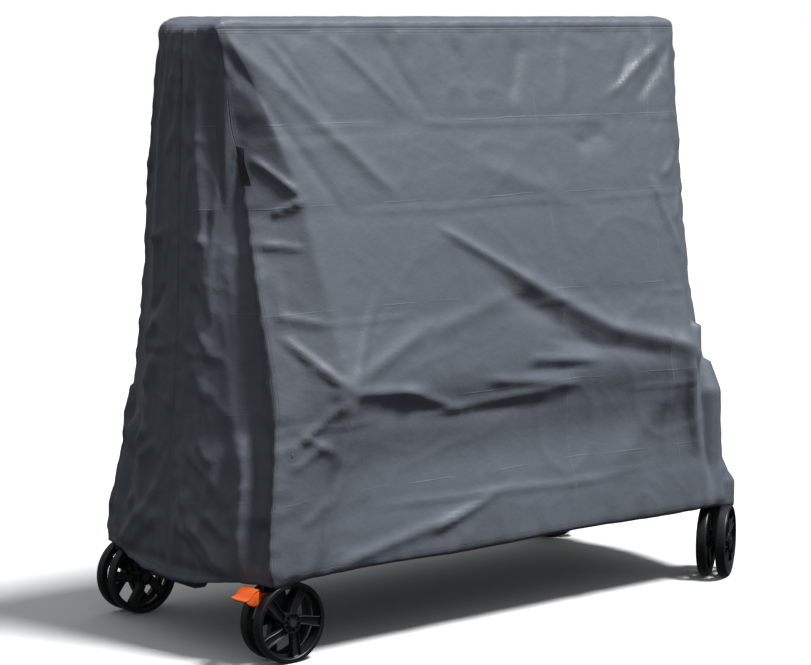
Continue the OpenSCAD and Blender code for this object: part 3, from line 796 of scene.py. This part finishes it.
def side_relief(grid, seed, depth):
    """How far each point of a cover half stands out from its rest shape."""
    x, y, z = (grid[:, :, n] for n in range(3))
    columns = np.arange(grid.shape[1])
    on_end = np.minimum(columns, columns[::-1]) / END_COLUMNS
    end = np.clip(1.15 - on_end, 0, 1)[None, :] ** 0.5 * (on_end < 1.15)[None, :]
    front = np.clip((on_end - 0.85) * 4, 0, 1)[None, :]
    low = (RIM_Z - z) / (RIM_Z - 0.20)
    relief = np.zeros(x.shape)
    for start, stop, width, height in FRONT_FOLDS:
        relief += stroke(x, z, start, stop, width * 0.85, height * 1.15) * front
    # Each folded leg's foot pushes a peak into the fabric
    reach = np.hypot(np.abs(x) - FOOT_X, (z - FOOT_Z) * 0.8)
    relief += 0.016 * np.exp(-reach / 0.045) * front
    share = np.clip(on_end, 0, 1)[None, :] + np.zeros(x.shape)
    span = 0.30
    for start, stop, width, height in END_FOLDS:
        fold = stroke(share * span, z, (start[0] * span, start[1]), (stop[0] * span, stop[1]),
                      width, height)
        relief += fold * (x < 0) * (on_end < 1)[None, :]
    # Panels between the packing creases belly a little
    wander = noise_grid(grid, 3.0, seed + 9) * 0.012
    broken = np.clip(noise_grid(grid, 4.0, seed + 10) * 3 + 0.7, 0, 1)
    for line in PRESS_LINES_DOWN:
        relief += -0.0022 * bell(RIM_Z - z - line + wander, 0.026) * front
        relief += 0.0030 * bell(RIM_Z - z - line + wander, 0.008) * front * broken
    for line in (0.16, 0.515):
        relief += 0.0026 * bell(x - line + wander, 0.008) * front * broken
    # Hanging folds on the ends, deeper towards the hem
    draw = random.Random(seed)
    for side in (-1, 1):
        mask = end * (x * side > 0) * (1.0 if side > 0 else 0.45)
        for n in range(12):
            start = (draw.uniform(0.02, 0.98), draw.uniform(0.30, 1.45))
            length = draw.uniform(0.06, 0.26)
            lean = draw.gauss(0.0, 0.5)
            stop = (start[0] + math.sin(lean) * length / 0.30,
                    start[1] - math.cos(lean) * length)
            fold = stroke(share * span, z, (start[0] * span, start[1]),
                          (stop[0] * span, stop[1]), draw.uniform(0.007, 0.012),
                          draw.uniform(0.003, 0.008) * draw.choice((1, 1, -1)), 1.3)
            relief += fold * (x * side > 0) * (on_end < 1)[None, :]
        for n in range(7):
            place = draw.uniform(0.03, 0.34)
            lean = draw.uniform(-0.05, 0.12)
            width = draw.uniform(0.010, 0.024)
            top = draw.uniform(0.05, 0.45)
            height = draw.uniform(0.006, 0.015) * draw.choice((1, 1, -1))
            spread = y - (place * (0.45 + 0.75 * low) + lean * low)
            grow = np.clip((low - top) * 2.2, 0, 1)
            relief += mask * height * grow * np.exp(-np.abs(spread / width) ** 1.5)
        for n in range(5):
            across = draw.uniform(0.02, 0.30)
            level = draw.uniform(0.35, 1.40)
            tilt = draw.uniform(-1.2, 1.2)
            off = (z - level) - tilt * (y - across)
            relief += mask * draw.uniform(0.003, 0.007) * bell(off, 0.016) * bell(
                y - across, 0.07)
    # The fabric crumples more near the ends and low down
    upright = grid * np.array([1.0, 1.0, 0.30])
    relief += noise_grid(upright, 6.0, seed) * (0.003 + 0.004 * end * low)
    hanging = grid * np.array([1.0, 1.0, 0.16])
    relief += noise_grid(upright, 16.0, seed + 1) * (0.0012 + 0.0010 * end)
    relief += noise_grid(hanging, 26.0, seed + 2) * (0.0006 + 0.0026 * end)
    relief += crinkle(grid, 4.5, seed + 6, 6.0) * (0.0020 + 0.0020 * end)
    relief += crinkle(grid, 11.0, seed + 7, 6.0) * (0.0012 + 0.0012 * end)
    relief += crinkle(hanging, 9.0, seed + 8, 4.0) * 0.0085 * end
    relief += crinkle(hanging, 17.0, seed + 12, 4.0) * 0.0045 * end
    # Puckers below the rim seam, along the corner seams and above the hem
    ripple = noise_grid(grid * np.array([1.0, 1.0, 0.15]), 36.0, seed + 3)
    relief += ripple * 0.0052 * bell(RIM_Z - z - 0.012, 0.030)
    near_seam = (bell((on_end - 1.0) * 0.30, 0.028) + bell(on_end * 0.30, 0.030))[None, :]
    pucker = noise_grid(grid * np.array([0.3, 0.3, 1.0]), 34.0, seed + 4)
    relief += pucker * 0.0045 * near_seam
    gather = noise_grid(grid * np.array([1.0, 1.0, 0.2]), 30.0, seed + 5)
    relief += gather * 0.010 * bell(1.0 - low, 0.05) * (0.35 + 0.65 * end + 0.5 * bell(
        np.abs(x) - 0.66, 0.12))
    relief -= 0.010 * bell(1.0 - low, 0.012)
    return relief * depth


# Where the table pushes the fabric out: axis, least distance, then the ranges along X, Y
# and Z, each measured from the middle planes and the floor
PUSHES = (
    (0, 0.7700, 0.022, (0, 9), (0.000, 0.131), (0.15, 1.545)),
    (0, 0.8000, 0.022, (0, 9), (0.000, 0.020), (0.15, 0.925)),
    (0, 0.8000, 0.090, (0, 9), (0.000, 0.366), (0.12, 0.270)),
    (0, 0.7500, 0.070, (0, 9), (0.312, 0.366), (0.22, 0.515)),
    (1, 0.4000, 0.060, (0.556, 0.614), (0, 9), (0.640, 0.658)),
    (1, 0.3660, 0.080, (0.705, 0.735), (0, 9), (0.20, 0.530)),
    (1, 0.3690, 0.080, (0.764, 0.798), (0, 9), (0.20, 0.268)),
)


def closeness(values, low, high, soft=0.022):
    """1 inside a range, falling to 0 a little way outside it."""
    outside = np.maximum(np.maximum(low - values, values - high), 0.0)
    return np.clip(1 - outside / soft, 0, 1)


def pushed_out(grid):
    """Moves the fabric off everything that stands under it."""
    columns = np.arange(grid.shape[1])
    on_end = np.minimum(columns, columns[::-1]) / END_COLUMNS
    size = [np.abs(grid[:, :, 0]), grid[:, :, 1], grid[:, :, 2]]
    for axis, least, soft, *ranges in PUSHES:
        weight = np.ones(grid.shape[:2])
        for n in range(3):
            if n != axis:
                weight = weight * closeness(size[n], *ranges[n], soft)
        weight = weight * ((on_end <= 1.0) if axis == 0 else (on_end >= 0.94))[None, :]
        out = np.maximum(size[axis], least - (1 - weight) * 0.045)
        size[axis] = np.where(weight > 0, out, size[axis])
    leg = 0.164 + (1.306 - size[2]) * 0.357
    on_leg = closeness(size[0], 0.565, 0.605) * closeness(size[2], 0.66, 1.32)
    out = np.maximum(size[1], leg - (1 - on_leg) * 0.045)
    size[1] = np.where((on_end[None, :] > 1) & (on_leg > 0), out, size[1])
    return np.stack([np.sign(grid[:, :, 0]) * size[0], size[1], size[2]], axis=2)


def grid_normals(grid, face):
    """Outward direction at every point of a side grid."""
    down = np.gradient(grid, axis=0)
    across = np.gradient(grid, axis=1)
    normal = np.cross(across, down)
    normal /= np.linalg.norm(normal, axis=2, keepdims=True)
    inward = (normal * grid)[:, :, :2].sum(axis=2).mean() < 0
    return -normal if inward else normal


def hem_height(grid, settings):
    """The hem droops at the middle of each end, dips at the corner seams and waves a little along the long sides.
    """
    x, y = grid[-1, :, 0], grid[-1, :, 1]
    columns = np.arange(grid.shape[1])
    on_end = np.minimum(columns, columns[::-1]) / END_COLUMNS
    droop = np.where(on_end < 1, np.cos(np.clip(on_end, 0, 1) * math.pi / 2) ** 1.5, 0)
    left = x < 0
    height = settings.hem_height - droop * np.where(left, 0.046, 0.020)
    height -= 0.016 * np.exp(-((on_end - 1.0) / 0.22) ** 2)
    height += 0.003 * np.sin(x * 9.0) * (on_end > 1)
    return height


def cover_half(name, face, settings):
    """One half of the cover as a single curved sheet, from the middle of the top to the hem."""
    grid, drop = cover_sides(face)
    hem = hem_height(grid, settings)
    scale = (RIM_Z - hem)[None, :] / (RIM_Z - 0.20)
    grid[:, :, 2] = RIM_Z - (RIM_Z - grid[:, :, 2]) * scale
    relief = side_relief(grid, settings.seed + (0 if face < 0 else 11), settings.fold_depth)
    # The two halves meet at the middle of each end
    columns = np.arange(grid.shape[1])
    from_middle = np.minimum(columns, columns[::-1])
    relief *= np.clip(from_middle / 3.0, 0, 1)[None, :]
    relief[0] = 0.0
    grid = pushed_out(grid + grid_normals(grid, face) * relief[:, :, None])
    grid[:, :, 1] = np.maximum(grid[:, :, 1], 0.0)

    # The top panel fills the space inside the rim
    first, last = END_COLUMNS, grid.shape[1] - 1 - END_COLUMNS
    rim = grid[0, first:last + 1]
    left = grid[0, :first + 1]
    right = grid[0, last:][::-1]
    u = np.linspace(0, 1, rim.shape[0])[None, :, None]
    f = np.linspace(0, 1, END_COLUMNS + 1)[:, None, None]
    spine = left[0] + (right[0] - left[0]) * u[0]
    top = ((1 - f) * spine[None] + f * rim[None] + (1 - u) * left[:, None] + u * right[:, None]
           - ((1 - u) * (1 - f) * left[0] + u * (1 - f) * right[0]
              + (1 - u) * f * left[-1] + u * f * right[-1]))
    edge = np.minimum(np.minimum(u, 1 - u) * 14, 1)[:, :, 0]
    crown = np.sqrt(np.clip(1 - f[:, :, 0] ** 9, 0, 1)) * np.sqrt(edge)
    top[:, :, 2] = RIM_Z + settings.crown * crown
    slant = np.stack([top[:, :, 0] + top[:, :, 2] * 1.4, top[:, :, 1] * 0.3,
                      top[:, :, 2] * 0.2], axis=2)
    ripple = noise_grid(slant, 42.0, settings.seed) * 0.0040
    ripple += noise_grid(slant, 90.0, settings.seed + 1) * 0.0018
    rolled = bell(crown - 0.80, 0.22)
    top[:, :, 2] += (ripple - 0.002) * rolled * np.clip(edge * 2, 0, 1)
    top[:, :, 1] += ripple * rolled * (1 - crown) * 1.6

    verts = []
    index_side = np.zeros(grid.shape[:2], dtype=int)
    cut = []
    for i in range(grid.shape[0]):
        for j in range(grid.shape[1]):
            index_side[i, j] = len(verts)
            verts.append(grid[i, j])
            cut.append((j / COLUMNS * CUT_WIDTH, drop[i] * CUT_LENGTH))
    index_top = np.zeros(top.shape[:2], dtype=int)
    for m in range(top.shape[0]):
        for k in range(top.shape[1]):
            if m == END_COLUMNS:
                index_top[m, k] = index_side[0, first + k]
            elif k == 0:
                index_top[m, k] = index_side[0, m]
            elif k == top.shape[1] - 1:
                index_top[m, k] = index_side[0, grid.shape[1] - 1 - m]
            else:
                index_top[m, k] = len(verts)
                verts.append(top[m, k])
                cut.append(((first + k) / COLUMNS * CUT_WIDTH,
                            -0.12 * (1 - m / END_COLUMNS)))
    faces = []
    for index in (index_side, index_top):
        for i in range(index.shape[0] - 1):
            for j in range(index.shape[1] - 1):
                faces.append((index[i, j], index[i, j + 1], index[i + 1, j + 1],
                              index[i + 1, j]))
    points = np.array(verts)
    points[:, 1] *= face
    mesh = bpy.data.meshes.new(name)
    mesh.from_pydata(points.tolist(), [], [tuple(int(n) for n in f) for f in faces])
    layer = mesh.uv_layers.new(name="cut")
    for loop in mesh.loops:
        layer.data[loop.index].uv = cut[loop.vertex_index]
    obj = bpy.data.objects.new(name, mesh)
    bpy.context.collection.objects.link(obj)
    return obj


def sheet_outward(obj):
    """Points an open sheet's faces away from the table."""
    activate(obj)
    bpy.ops.object.mode_set(mode="EDIT")
    bpy.ops.mesh.select_all(action="SELECT")
    bpy.ops.mesh.normals_make_consistent(inside=False)
    bpy.ops.object.mode_set(mode="OBJECT")
    up = sum(p.normal.z * p.area for p in obj.data.polygons if p.center.z > RIM_Z)
    if up < 0:
        bpy.ops.object.mode_set(mode="EDIT")
        bpy.ops.mesh.select_all(action="SELECT")
        bpy.ops.mesh.flip_normals()
        bpy.ops.object.mode_set(mode="OBJECT")


# ---------------------------------------------------------------- operators

class TABLE_OT_cover(bpy.types.Operator):
    """Make the fabric cover in two halves that meet along the middle seam."""

    bl_idname = "table.cover"
    bl_label = "Fabric cover"

    def execute(self, context):
        settings = context.scene.table_cover
        material = fabric_paint(settings)
        nodes = {"front": ("cover_front", "cover_end_left", "cover_hem"),
                 "back": ("cover_back", "cover_end_right", "cover_top")}
        for side, face in (("front", -1), ("back", 1)):
            cloth = cover_half(f"cover_{side}_cloth", face, settings)
            sheet_outward(cloth)
            modifier(cloth, "SMOOTH", factor=0.5, iterations=1)
            for vertex in cloth.data.vertices:
                if abs(vertex.co.y) < 0.004:
                    vertex.co.y = vertex.co.y if abs(vertex.co.y) > 0.002 else 0.0
            modifier(cloth, "SOLIDIFY", thickness=settings.thickness, offset=-1.0)
            activate(cloth)
            bpy.ops.object.shade_smooth()
            finish_piece(cloth, "cover", "cover_fabric", material, *nodes[side])
            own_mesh(cloth)
        return {"FINISHED"}


class TABLE_OT_tag(bpy.types.Operator):
    """Make the woven tag that is sewn into the front left seam."""

    bl_idname = "table.tag"
    bl_label = "Woven tag"

    def execute(self, context):
        low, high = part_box("label_tag")
        deselect()
        bpy.ops.mesh.primitive_grid_add(x_subdivisions=10, y_subdivisions=24, size=1.0)
        tag = added("sewn_tag")
        top = Vector((-0.7400, -0.1440, high[2]))
        foot = Vector((-0.7420, -0.1670, low[2]))
        out = Vector((0.30, -0.95, 0.0)).normalized()
        width = 0.026
        for vertex in tag.data.vertices:
            across, down = vertex.co.x + 0.5, 0.5 - vertex.co.y
            curl = 0.004 * math.sin(down * 5.0) * across
            vertex.co = top + (foot - top) * down + out * (across * width) + Vector(
                (-0.006 - curl, -0.002, -0.006 * across * (1 - down)))
        modifier(tag, "SOLIDIFY", thickness=0.0012, offset=0.0)
        smooth(tag)
        finish_piece(tag, "cover", "label_fabric", label_paint(), "label_tag")
        return {"FINISHED"}


class TABLE_OT_wheels(bpy.types.Operator):
    """Make one spoked wheel and place a copy on each side of every caster."""

    bl_idname = "table.wheels"
    bl_label = "Caster wheels"

    def execute(self, context):
        settings = context.scene.table_casters
        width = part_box("wheel_outer_front_left")[1][1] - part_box("wheel_outer_front_left")[0][1]
        wheel = self.wheel(settings, 0.100, width)
        material = moulded_paint("moulded_wheel", tuple(settings.plastic_colour), 0.40)
        for corner in CORNERS:
            for place in ("outer", "inner"):
                self.mount(wheel, corner, place, material)
        bpy.data.objects.remove(wheel)
        return {"FINISHED"}

    def mount(self, wheel, corner, place, material):
        """Puts a copy where the wheel's node is, with its open face outwards."""
        node = f"wheel_{place}_{corner}"
        joint = JOINTS[f"spin_{place}_{corner}"]
        low, high = (Vector(point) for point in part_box(node))
        centre = (low + high) / 2
        hub = Vector(joint["pos_m"])
        outwards = (centre - hub).normalized()
        turn = Vector((0, 0, 1)).rotation_difference(outwards).to_matrix().to_4x4()
        spin = Matrix.Rotation(math.radians({"outer": 8, "inner": 44}[place]), 4, "Z")
        copy = twin(wheel, f"{place}_wheel_{corner}", Matrix.Translation(centre) @ turn @ spin)
        finish_piece(copy, node, "wheel_plastic", material, node)

    def wheel(self, settings, radius, width):
        """A wheel round Z, its open face towards +Z."""
        rim_in = radius * 0.880
        half = width / 2
        parts = [self.tyre(radius, rim_in, width)]
        for n in range(settings.spokes):
            parts.append(self.spoke(rim_in, half, n * 2 * math.pi / settings.spokes))
        parts.append(self.hub(settings, width))
        web = ring("inner_web", rim_in + 0.002, rim_in - 0.007, width * 0.35)
        parts.append(settle(web, Matrix.Translation((0, 0, -half * 0.55))))
        for n in range(36):
            angle = n * 2 * math.pi / 36
            tooth = bar("tooth", (0.006, 0.006, 0.004), (rim_in - 0.004, 0, -half + 0.003))
            parts.append(settle(tooth, Matrix.Rotation(angle, 4, "Z")))
        wheel = joined("wheel", parts)
        smooth(wheel, 32)
        return wheel

    def tyre(self, radius, rim_in, width):
        """The rim with its rounded tread and the groove round its outer face."""
        half = width / 2
        profile = [
            (rim_in, -half), (radius - 0.0040, -half), (radius - 0.0016, -half + 0.0009),
            (radius - 0.0004, -half + 0.0026), (radius, -half + 0.0050),
            (radius, half - 0.0050), (radius - 0.0004, half - 0.0026),
            (radius - 0.0016, half - 0.0009), (radius - 0.0034, half),
            (radius - 0.0058, half), (radius - 0.0064, half - 0.0022),
            (radius - 0.0080, half - 0.0022), (radius - 0.0086, half - 0.0004),
            (rim_in + 0.0014, half - 0.0004), (rim_in, half - 0.0018),
        ]
        return lathe("tyre", profile, 128)

    def spoke(self, reach, half, angle):
        """A bowed arm with raised edges and a sunk middle."""
        steps = 8
        start, end = 0.019, reach + 0.002
        deselect()
        bpy.ops.mesh.primitive_grid_add(x_subdivisions=steps, y_subdivisions=3, size=1.0)
        arm = added("spoke")
        for vertex in arm.data.vertices:
            run = vertex.co.x + 0.5
            r = start + (end - start) * run
            wide = 0.0104 + 0.0030 * run ** 1.5
            bow = 0.10 * run - 0.34 * math.sin(run * math.pi * 0.5)
            side = vertex.co.y * 2 * wide
            vertex.co = (r * math.cos(bow) - side * math.sin(bow),
                         r * math.sin(bow) + side * math.cos(bow), half * 0.70)
        bpy.ops.object.mode_set(mode="EDIT")
        bpy.ops.mesh.select_all(action="SELECT")
        bpy.ops.mesh.extrude_region_move(TRANSFORM_OT_translate={"value": (0, 0, -half * 1.25)})
        bpy.ops.object.mode_set(mode="OBJECT")
        outward(arm)
        bpy.ops.object.mode_set(mode="EDIT")
        pick(arm, lambda f: f.normal.z > 0.9)
        bpy.ops.mesh.inset(thickness=0.0022, depth=0)
        bpy.ops.mesh.extrude_region_move(TRANSFORM_OT_translate={"value": (0, 0, -0.0055)})
        bpy.ops.object.mode_set(mode="OBJECT")
        soften(arm, 0.0007, 1, 50)
        return settle(arm, Matrix.Rotation(angle, 4, "Z"))

    def hub(self, settings, width):
        """The hub with its ring of pockets and the axle's cap."""
        parts = [ring("hub_wall", 0.0255, 0.0228, width * 0.98, 72),
                 ring("hub_core", 0.0128, 0.0062, width * 0.98, 48),
                 ring("hub_floor", 0.0232, 0.0120, width * 0.66, 48)]
        for n in range(settings.hub_pockets):
            angle = n * 2 * math.pi / settings.hub_pockets
            rib = bar("rib", (0.0110, 0.0018, width * 0.95), (0.0177, 0, 0))
            parts.append(settle(rib, Matrix.Rotation(angle, 4, "Z")))
        return joined("hub", parts)


class TABLE_OT_pedals(bpy.types.Operator):
    """Make the orange brake pedals."""

    bl_idname = "table.pedals"
    bl_label = "Brake pedals"

    def execute(self, context):
        settings = context.scene.table_casters
        material = moulded_paint("moulded_pedal", tuple(settings.pedal_colour), 0.34, 0.03)
        pedal = self.pedal()
        for corner in BRAKED:
            copy = twin(pedal, f"foot_pedal_{corner}", caster_place(corner))
            finish_piece(copy, f"pedal_{corner}", "orange_plastic", material,
                         f"brake_pedal_{corner}")
        bpy.data.objects.remove(pedal)
        return {"FINISHED"}

    def pedal(self):
        """A dished paddle with side walls and two arms, in the caster's own frame."""
        width = 0.062
        curve = [(-0.0555, 0.1910), (-0.0640, 0.1885), (-0.0720, 0.1835), (-0.0790, 0.1765),
                 (-0.0850, 0.1705), (-0.0925, 0.1680), (-0.0995, 0.1685), (-0.1040, 0.1700)]
        deselect()
        bpy.ops.mesh.primitive_grid_add(x_subdivisions=len(curve) - 1, y_subdivisions=12,
                                        size=1.0)
        paddle = added("paddle")
        for vertex in paddle.data.vertices:
            step = round((vertex.co.x + 0.5) * (len(curve) - 1))
            x, z = curve[step]
            side = vertex.co.y * 2
            tuck = 1.0 - 0.10 * (step / (len(curve) - 1)) ** 3
            x += 0.005 * side ** 4 * (step / (len(curve) - 1))
            vertex.co = (x, side * width / 2 * tuck, z + 0.0015 * side ** 2)
        modifier(paddle, "SOLIDIFY", thickness=0.0042, offset=-1.0)
        outward(paddle)
        soften(paddle, 0.0012, 2, 40)
        parts = [paddle]
        for side in (-1, 1):
            wall = self.wall(curve, side * (width / 2 - 0.0026))
            arm = bar("arm", (0.050, 0.0044, 0.013), (-0.041, side * 0.0087, 0.172))
            lug = disc("lug", 0.0068, 0.0044)
            settle(lug, Matrix.Translation((-0.020, side * 0.0087, 0.168))
                   @ Matrix.Rotation(math.pi / 2, 4, "X"))
            soften(arm, 0.001)
            parts += [wall, arm, lug]
        rib = bar("cross_rib", (0.0035, width - 0.006, 0.014), (-0.0600, 0, 0.179))
        parts.append(rib)
        pedal = joined("pedal", parts)
        smooth(pedal, 40)
        return pedal

    def wall(self, curve, y):
        """A side wall under the paddle, cut back where it would meet the tyre."""
        outline = [(x + 0.0005, z - 0.0006) for x, z in curve[:6]]
        outline += [(-0.0840, 0.1600), (-0.0700, 0.1555), (-0.0572, 0.1585)]
        wall = plate("side_wall", outline, 0.0044, y - 0.0022)
        soften(wall, 0.0008)
        return wall


def caster_place(corner):
    """Matrix from a caster's own frame, its origin on the floor below the swivel."""
    pivot = Vector(JOINTS[f"swivel_{corner}"]["pos_m"])
    axle = Vector(JOINTS[f"spin_outer_{corner}"]["pos_m"])
    ahead = Vector((axle.x - pivot.x, axle.y - pivot.y, 0)).normalized()
    side = Vector((0, 0, 1)).cross(ahead)
    turn = Matrix((ahead, side, Vector((0, 0, 1)))).transposed().to_4x4()
    return Matrix.Translation((pivot.x, pivot.y, 0)) @ turn


class TABLE_OT_net(bpy.types.Operator):
    """Make the net's mesh and the tape along its top."""

    bl_idname = "table.net"
    bl_label = "Net"

    def execute(self, context):
        low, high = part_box("net")
        deselect()
        bpy.ops.mesh.primitive_grid_add(x_subdivisions=120, y_subdivisions=10, size=1.0)
        net = added("mesh_net")
        for vertex in net.data.vertices:
            x = low[0] + (vertex.co.x + 0.5) * (high[0] - low[0])
            z = low[2] + (vertex.co.y + 0.5) * (high[2] - low[2])
            ripple = 0.0006 * math.sin(x * 31.0) * (high[2] - z) / (high[2] - low[2])
            vertex.co = (x, ripple, z)
        modifier(net, "SOLIDIFY", thickness=0.0010, offset=0.0)
        smooth(net)
        finish_piece(net, "chassis", "net_mesh", net_paint(), "net")

        low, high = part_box("net_tape")
        half, tall = (high[1] - low[1]) / 2 - 0.0002, high[2] - low[2]
        deselect()
        bpy.ops.mesh.primitive_grid_add(x_subdivisions=80, y_subdivisions=20, size=1.0)
        tape = added("net_tape_band")
        straight = tall - half
        length = 2 * straight + math.pi * half
        for vertex in tape.data.vertices:
            x = low[0] + (vertex.co.x + 0.5) * (high[0] - low[0])
            run = (vertex.co.y + 0.5) * length
            if run < straight:
                vertex.co = (x, -half, low[2] + run)
            elif run > length - straight:
                vertex.co = (x, half, low[2] + length - run)
            else:
                turn = (run - straight) / half
                vertex.co = (x, -half * math.cos(turn), low[2] + straight + half * math.sin(turn))
        modifier(tape, "SOLIDIFY", thickness=0.0006, offset=-1.0)
        smooth(tape)
        finish_piece(tape, "chassis", "net_tape", tape_paint(), "net_tape")
        return {"FINISHED"}


class TABLE_OT_finishes(bpy.types.Operator):
    """Give every carried-over node its own finish."""

    bl_idname = "table.finishes"
    bl_label = "Finishes"

    def execute(self, context):
        table = context.scene.table_frame
        plastic = tuple(context.scene.table_casters.plastic_colour)
        paints = {
            "painted_steel": coated_steel_paint(table),
            "zinc_steel": zinc_paint(),
            "black_plastic": moulded_paint("moulded_fittings", (0.030, 0.028, 0.027), 0.50, 0.2),
            "caster_plastic": moulded_paint("moulded_caster", plastic, 0.38, 0.1),
        }
        slots = {part["node"]: part["material_slot"] for part in frame["record"]["subparts"]}
        boards = {f"{side}_board": board_paint(table, side) for side in ("front", "back")}
        for name, obj in frame["nodes"].items():
            material = boards.get(name) or paints.get(slots[name])
            if material is None:
                continue
            obj.data.materials.clear()
            obj.data.materials.append(material)
        return {"FINISHED"}


class TABLE_OT_stage(bpy.types.Operator):
    """Make the floor, the lights and the camera."""

    bl_idname = "table.stage"
    bl_label = "Stage"

    def execute(self, context):
        deselect()
        bpy.ops.mesh.primitive_plane_add(size=60.0, location=(0, 0, -0.0005))
        floor = added("floor")
        paint = Paint("pale_floor", Roughness=0.9)
        paint.set("Base Color", (0.93, 0.93, 0.93))
        floor.data.materials.append(paint.material)
        floor.visible_diffuse = False
        floor.visible_glossy = False

        world = bpy.data.worlds.new("studio")
        world.use_nodes = True
        tree = world.node_tree
        soft = tree.nodes["Background"]
        where = tree.nodes.new("ShaderNodeTexCoord")
        split = tree.nodes.new("ShaderNodeSeparateXYZ")
        slope = tree.nodes.new("ShaderNodeMapRange")
        tree.links.new(where.outputs["Generated"], split.inputs[0])
        tree.links.new(split.outputs["Z"], slope.inputs[0])
        for n, value in enumerate((-0.30, 0.80, 0.05, 0.38), 1):
            slope.inputs[n].default_value = value
        tree.links.new(slope.outputs[0], soft.inputs[1])
        soft.inputs[0].default_value = (0.96, 0.98, 1.0, 1.0)
        backdrop = tree.nodes.new("ShaderNodeBackground")
        backdrop.inputs[0].default_value = (1.0, 1.0, 1.0, 1.0)
        mix = tree.nodes.new("ShaderNodeMixShader")
        ray = tree.nodes.new("ShaderNodeLightPath")
        tree.links.new(ray.outputs["Is Camera Ray"], mix.inputs[0])
        tree.links.new(soft.outputs[0], mix.inputs[1])
        tree.links.new(backdrop.outputs[0], mix.inputs[2])
        tree.links.new(mix.outputs[0], tree.nodes["World Output"].inputs[0])
        context.scene.world = world
        self.sun("key", (0.26, -0.38, 0.88), 14.0, 4.15)

        bpy.ops.object.camera_add(
            location=(-4.206, -5.0545, 1.564),
            rotation=(math.radians(90 - 7.3616), 0, math.radians(-39.128)))
        camera = bpy.context.object
        camera.name = "view_camera"
        camera.data.sensor_width = 36.0
        camera.data.lens = 108.94
        context.scene.camera = camera
        context.scene.view_settings.view_transform = "Standard"
        return {"FINISHED"}

    def sun(self, name, towards, spread, strength):
        """A broad soft light that shines from one direction."""
        bpy.ops.object.light_add(type="SUN", location=Vector(towards) * 5)
        lamp = bpy.context.object
        lamp.name = name
        lamp.data.angle = math.radians(spread)
        lamp.data.energy = strength
        lamp.rotation_euler = (-Vector(towards)).to_track_quat("-Z", "Y").to_euler()


OPERATORS = (TABLE_OT_stage, TABLE_OT_cover, TABLE_OT_tag, TABLE_OT_wheels, TABLE_OT_pedals,
             TABLE_OT_net, TABLE_OT_finishes)


class TABLE_PT_panel(bpy.types.Panel):
    """Lists the pieces and their settings."""

    bl_idname = "TABLE_PT_panel"
    bl_label = "Covered table"
    bl_space_type = "VIEW_3D"
    bl_region_type = "UI"
    bl_category = "Table"

    def draw(self, context):
        column = self.layout.column()
        for operator in OPERATORS:
            column.operator(operator.bl_idname)
        for name in ("table_cover", "table_frame", "table_casters"):
            group = getattr(context.scene, name)
            for key in group.bl_rna.properties.keys():
                if key not in ("rna_type", "name"):
                    column.prop(group, key)


GROUPS = (("table_cover", CoverSettings), ("table_frame", TableSettings),
          ("table_casters", CasterSettings))


def register():
    for name, group in GROUPS:
        bpy.utils.register_class(group)
        setattr(bpy.types.Scene, name, bpy.props.PointerProperty(type=group))
    for operator in OPERATORS:
        bpy.utils.register_class(operator)
    bpy.utils.register_class(TABLE_PT_panel)


def unregister():
    bpy.utils.unregister_class(TABLE_PT_panel)
    for operator in reversed(OPERATORS):
        bpy.utils.unregister_class(operator)
    for name, group in reversed(GROUPS):
        delattr(bpy.types.Scene, name)
        bpy.utils.unregister_class(group)


def main():
    """Makes every piece in order."""
    register()
    for operator in OPERATORS:
        family, name = operator.bl_idname.split(".")
        getattr(getattr(bpy.ops, family), name)()


if __name__ == "__main__":
    main()
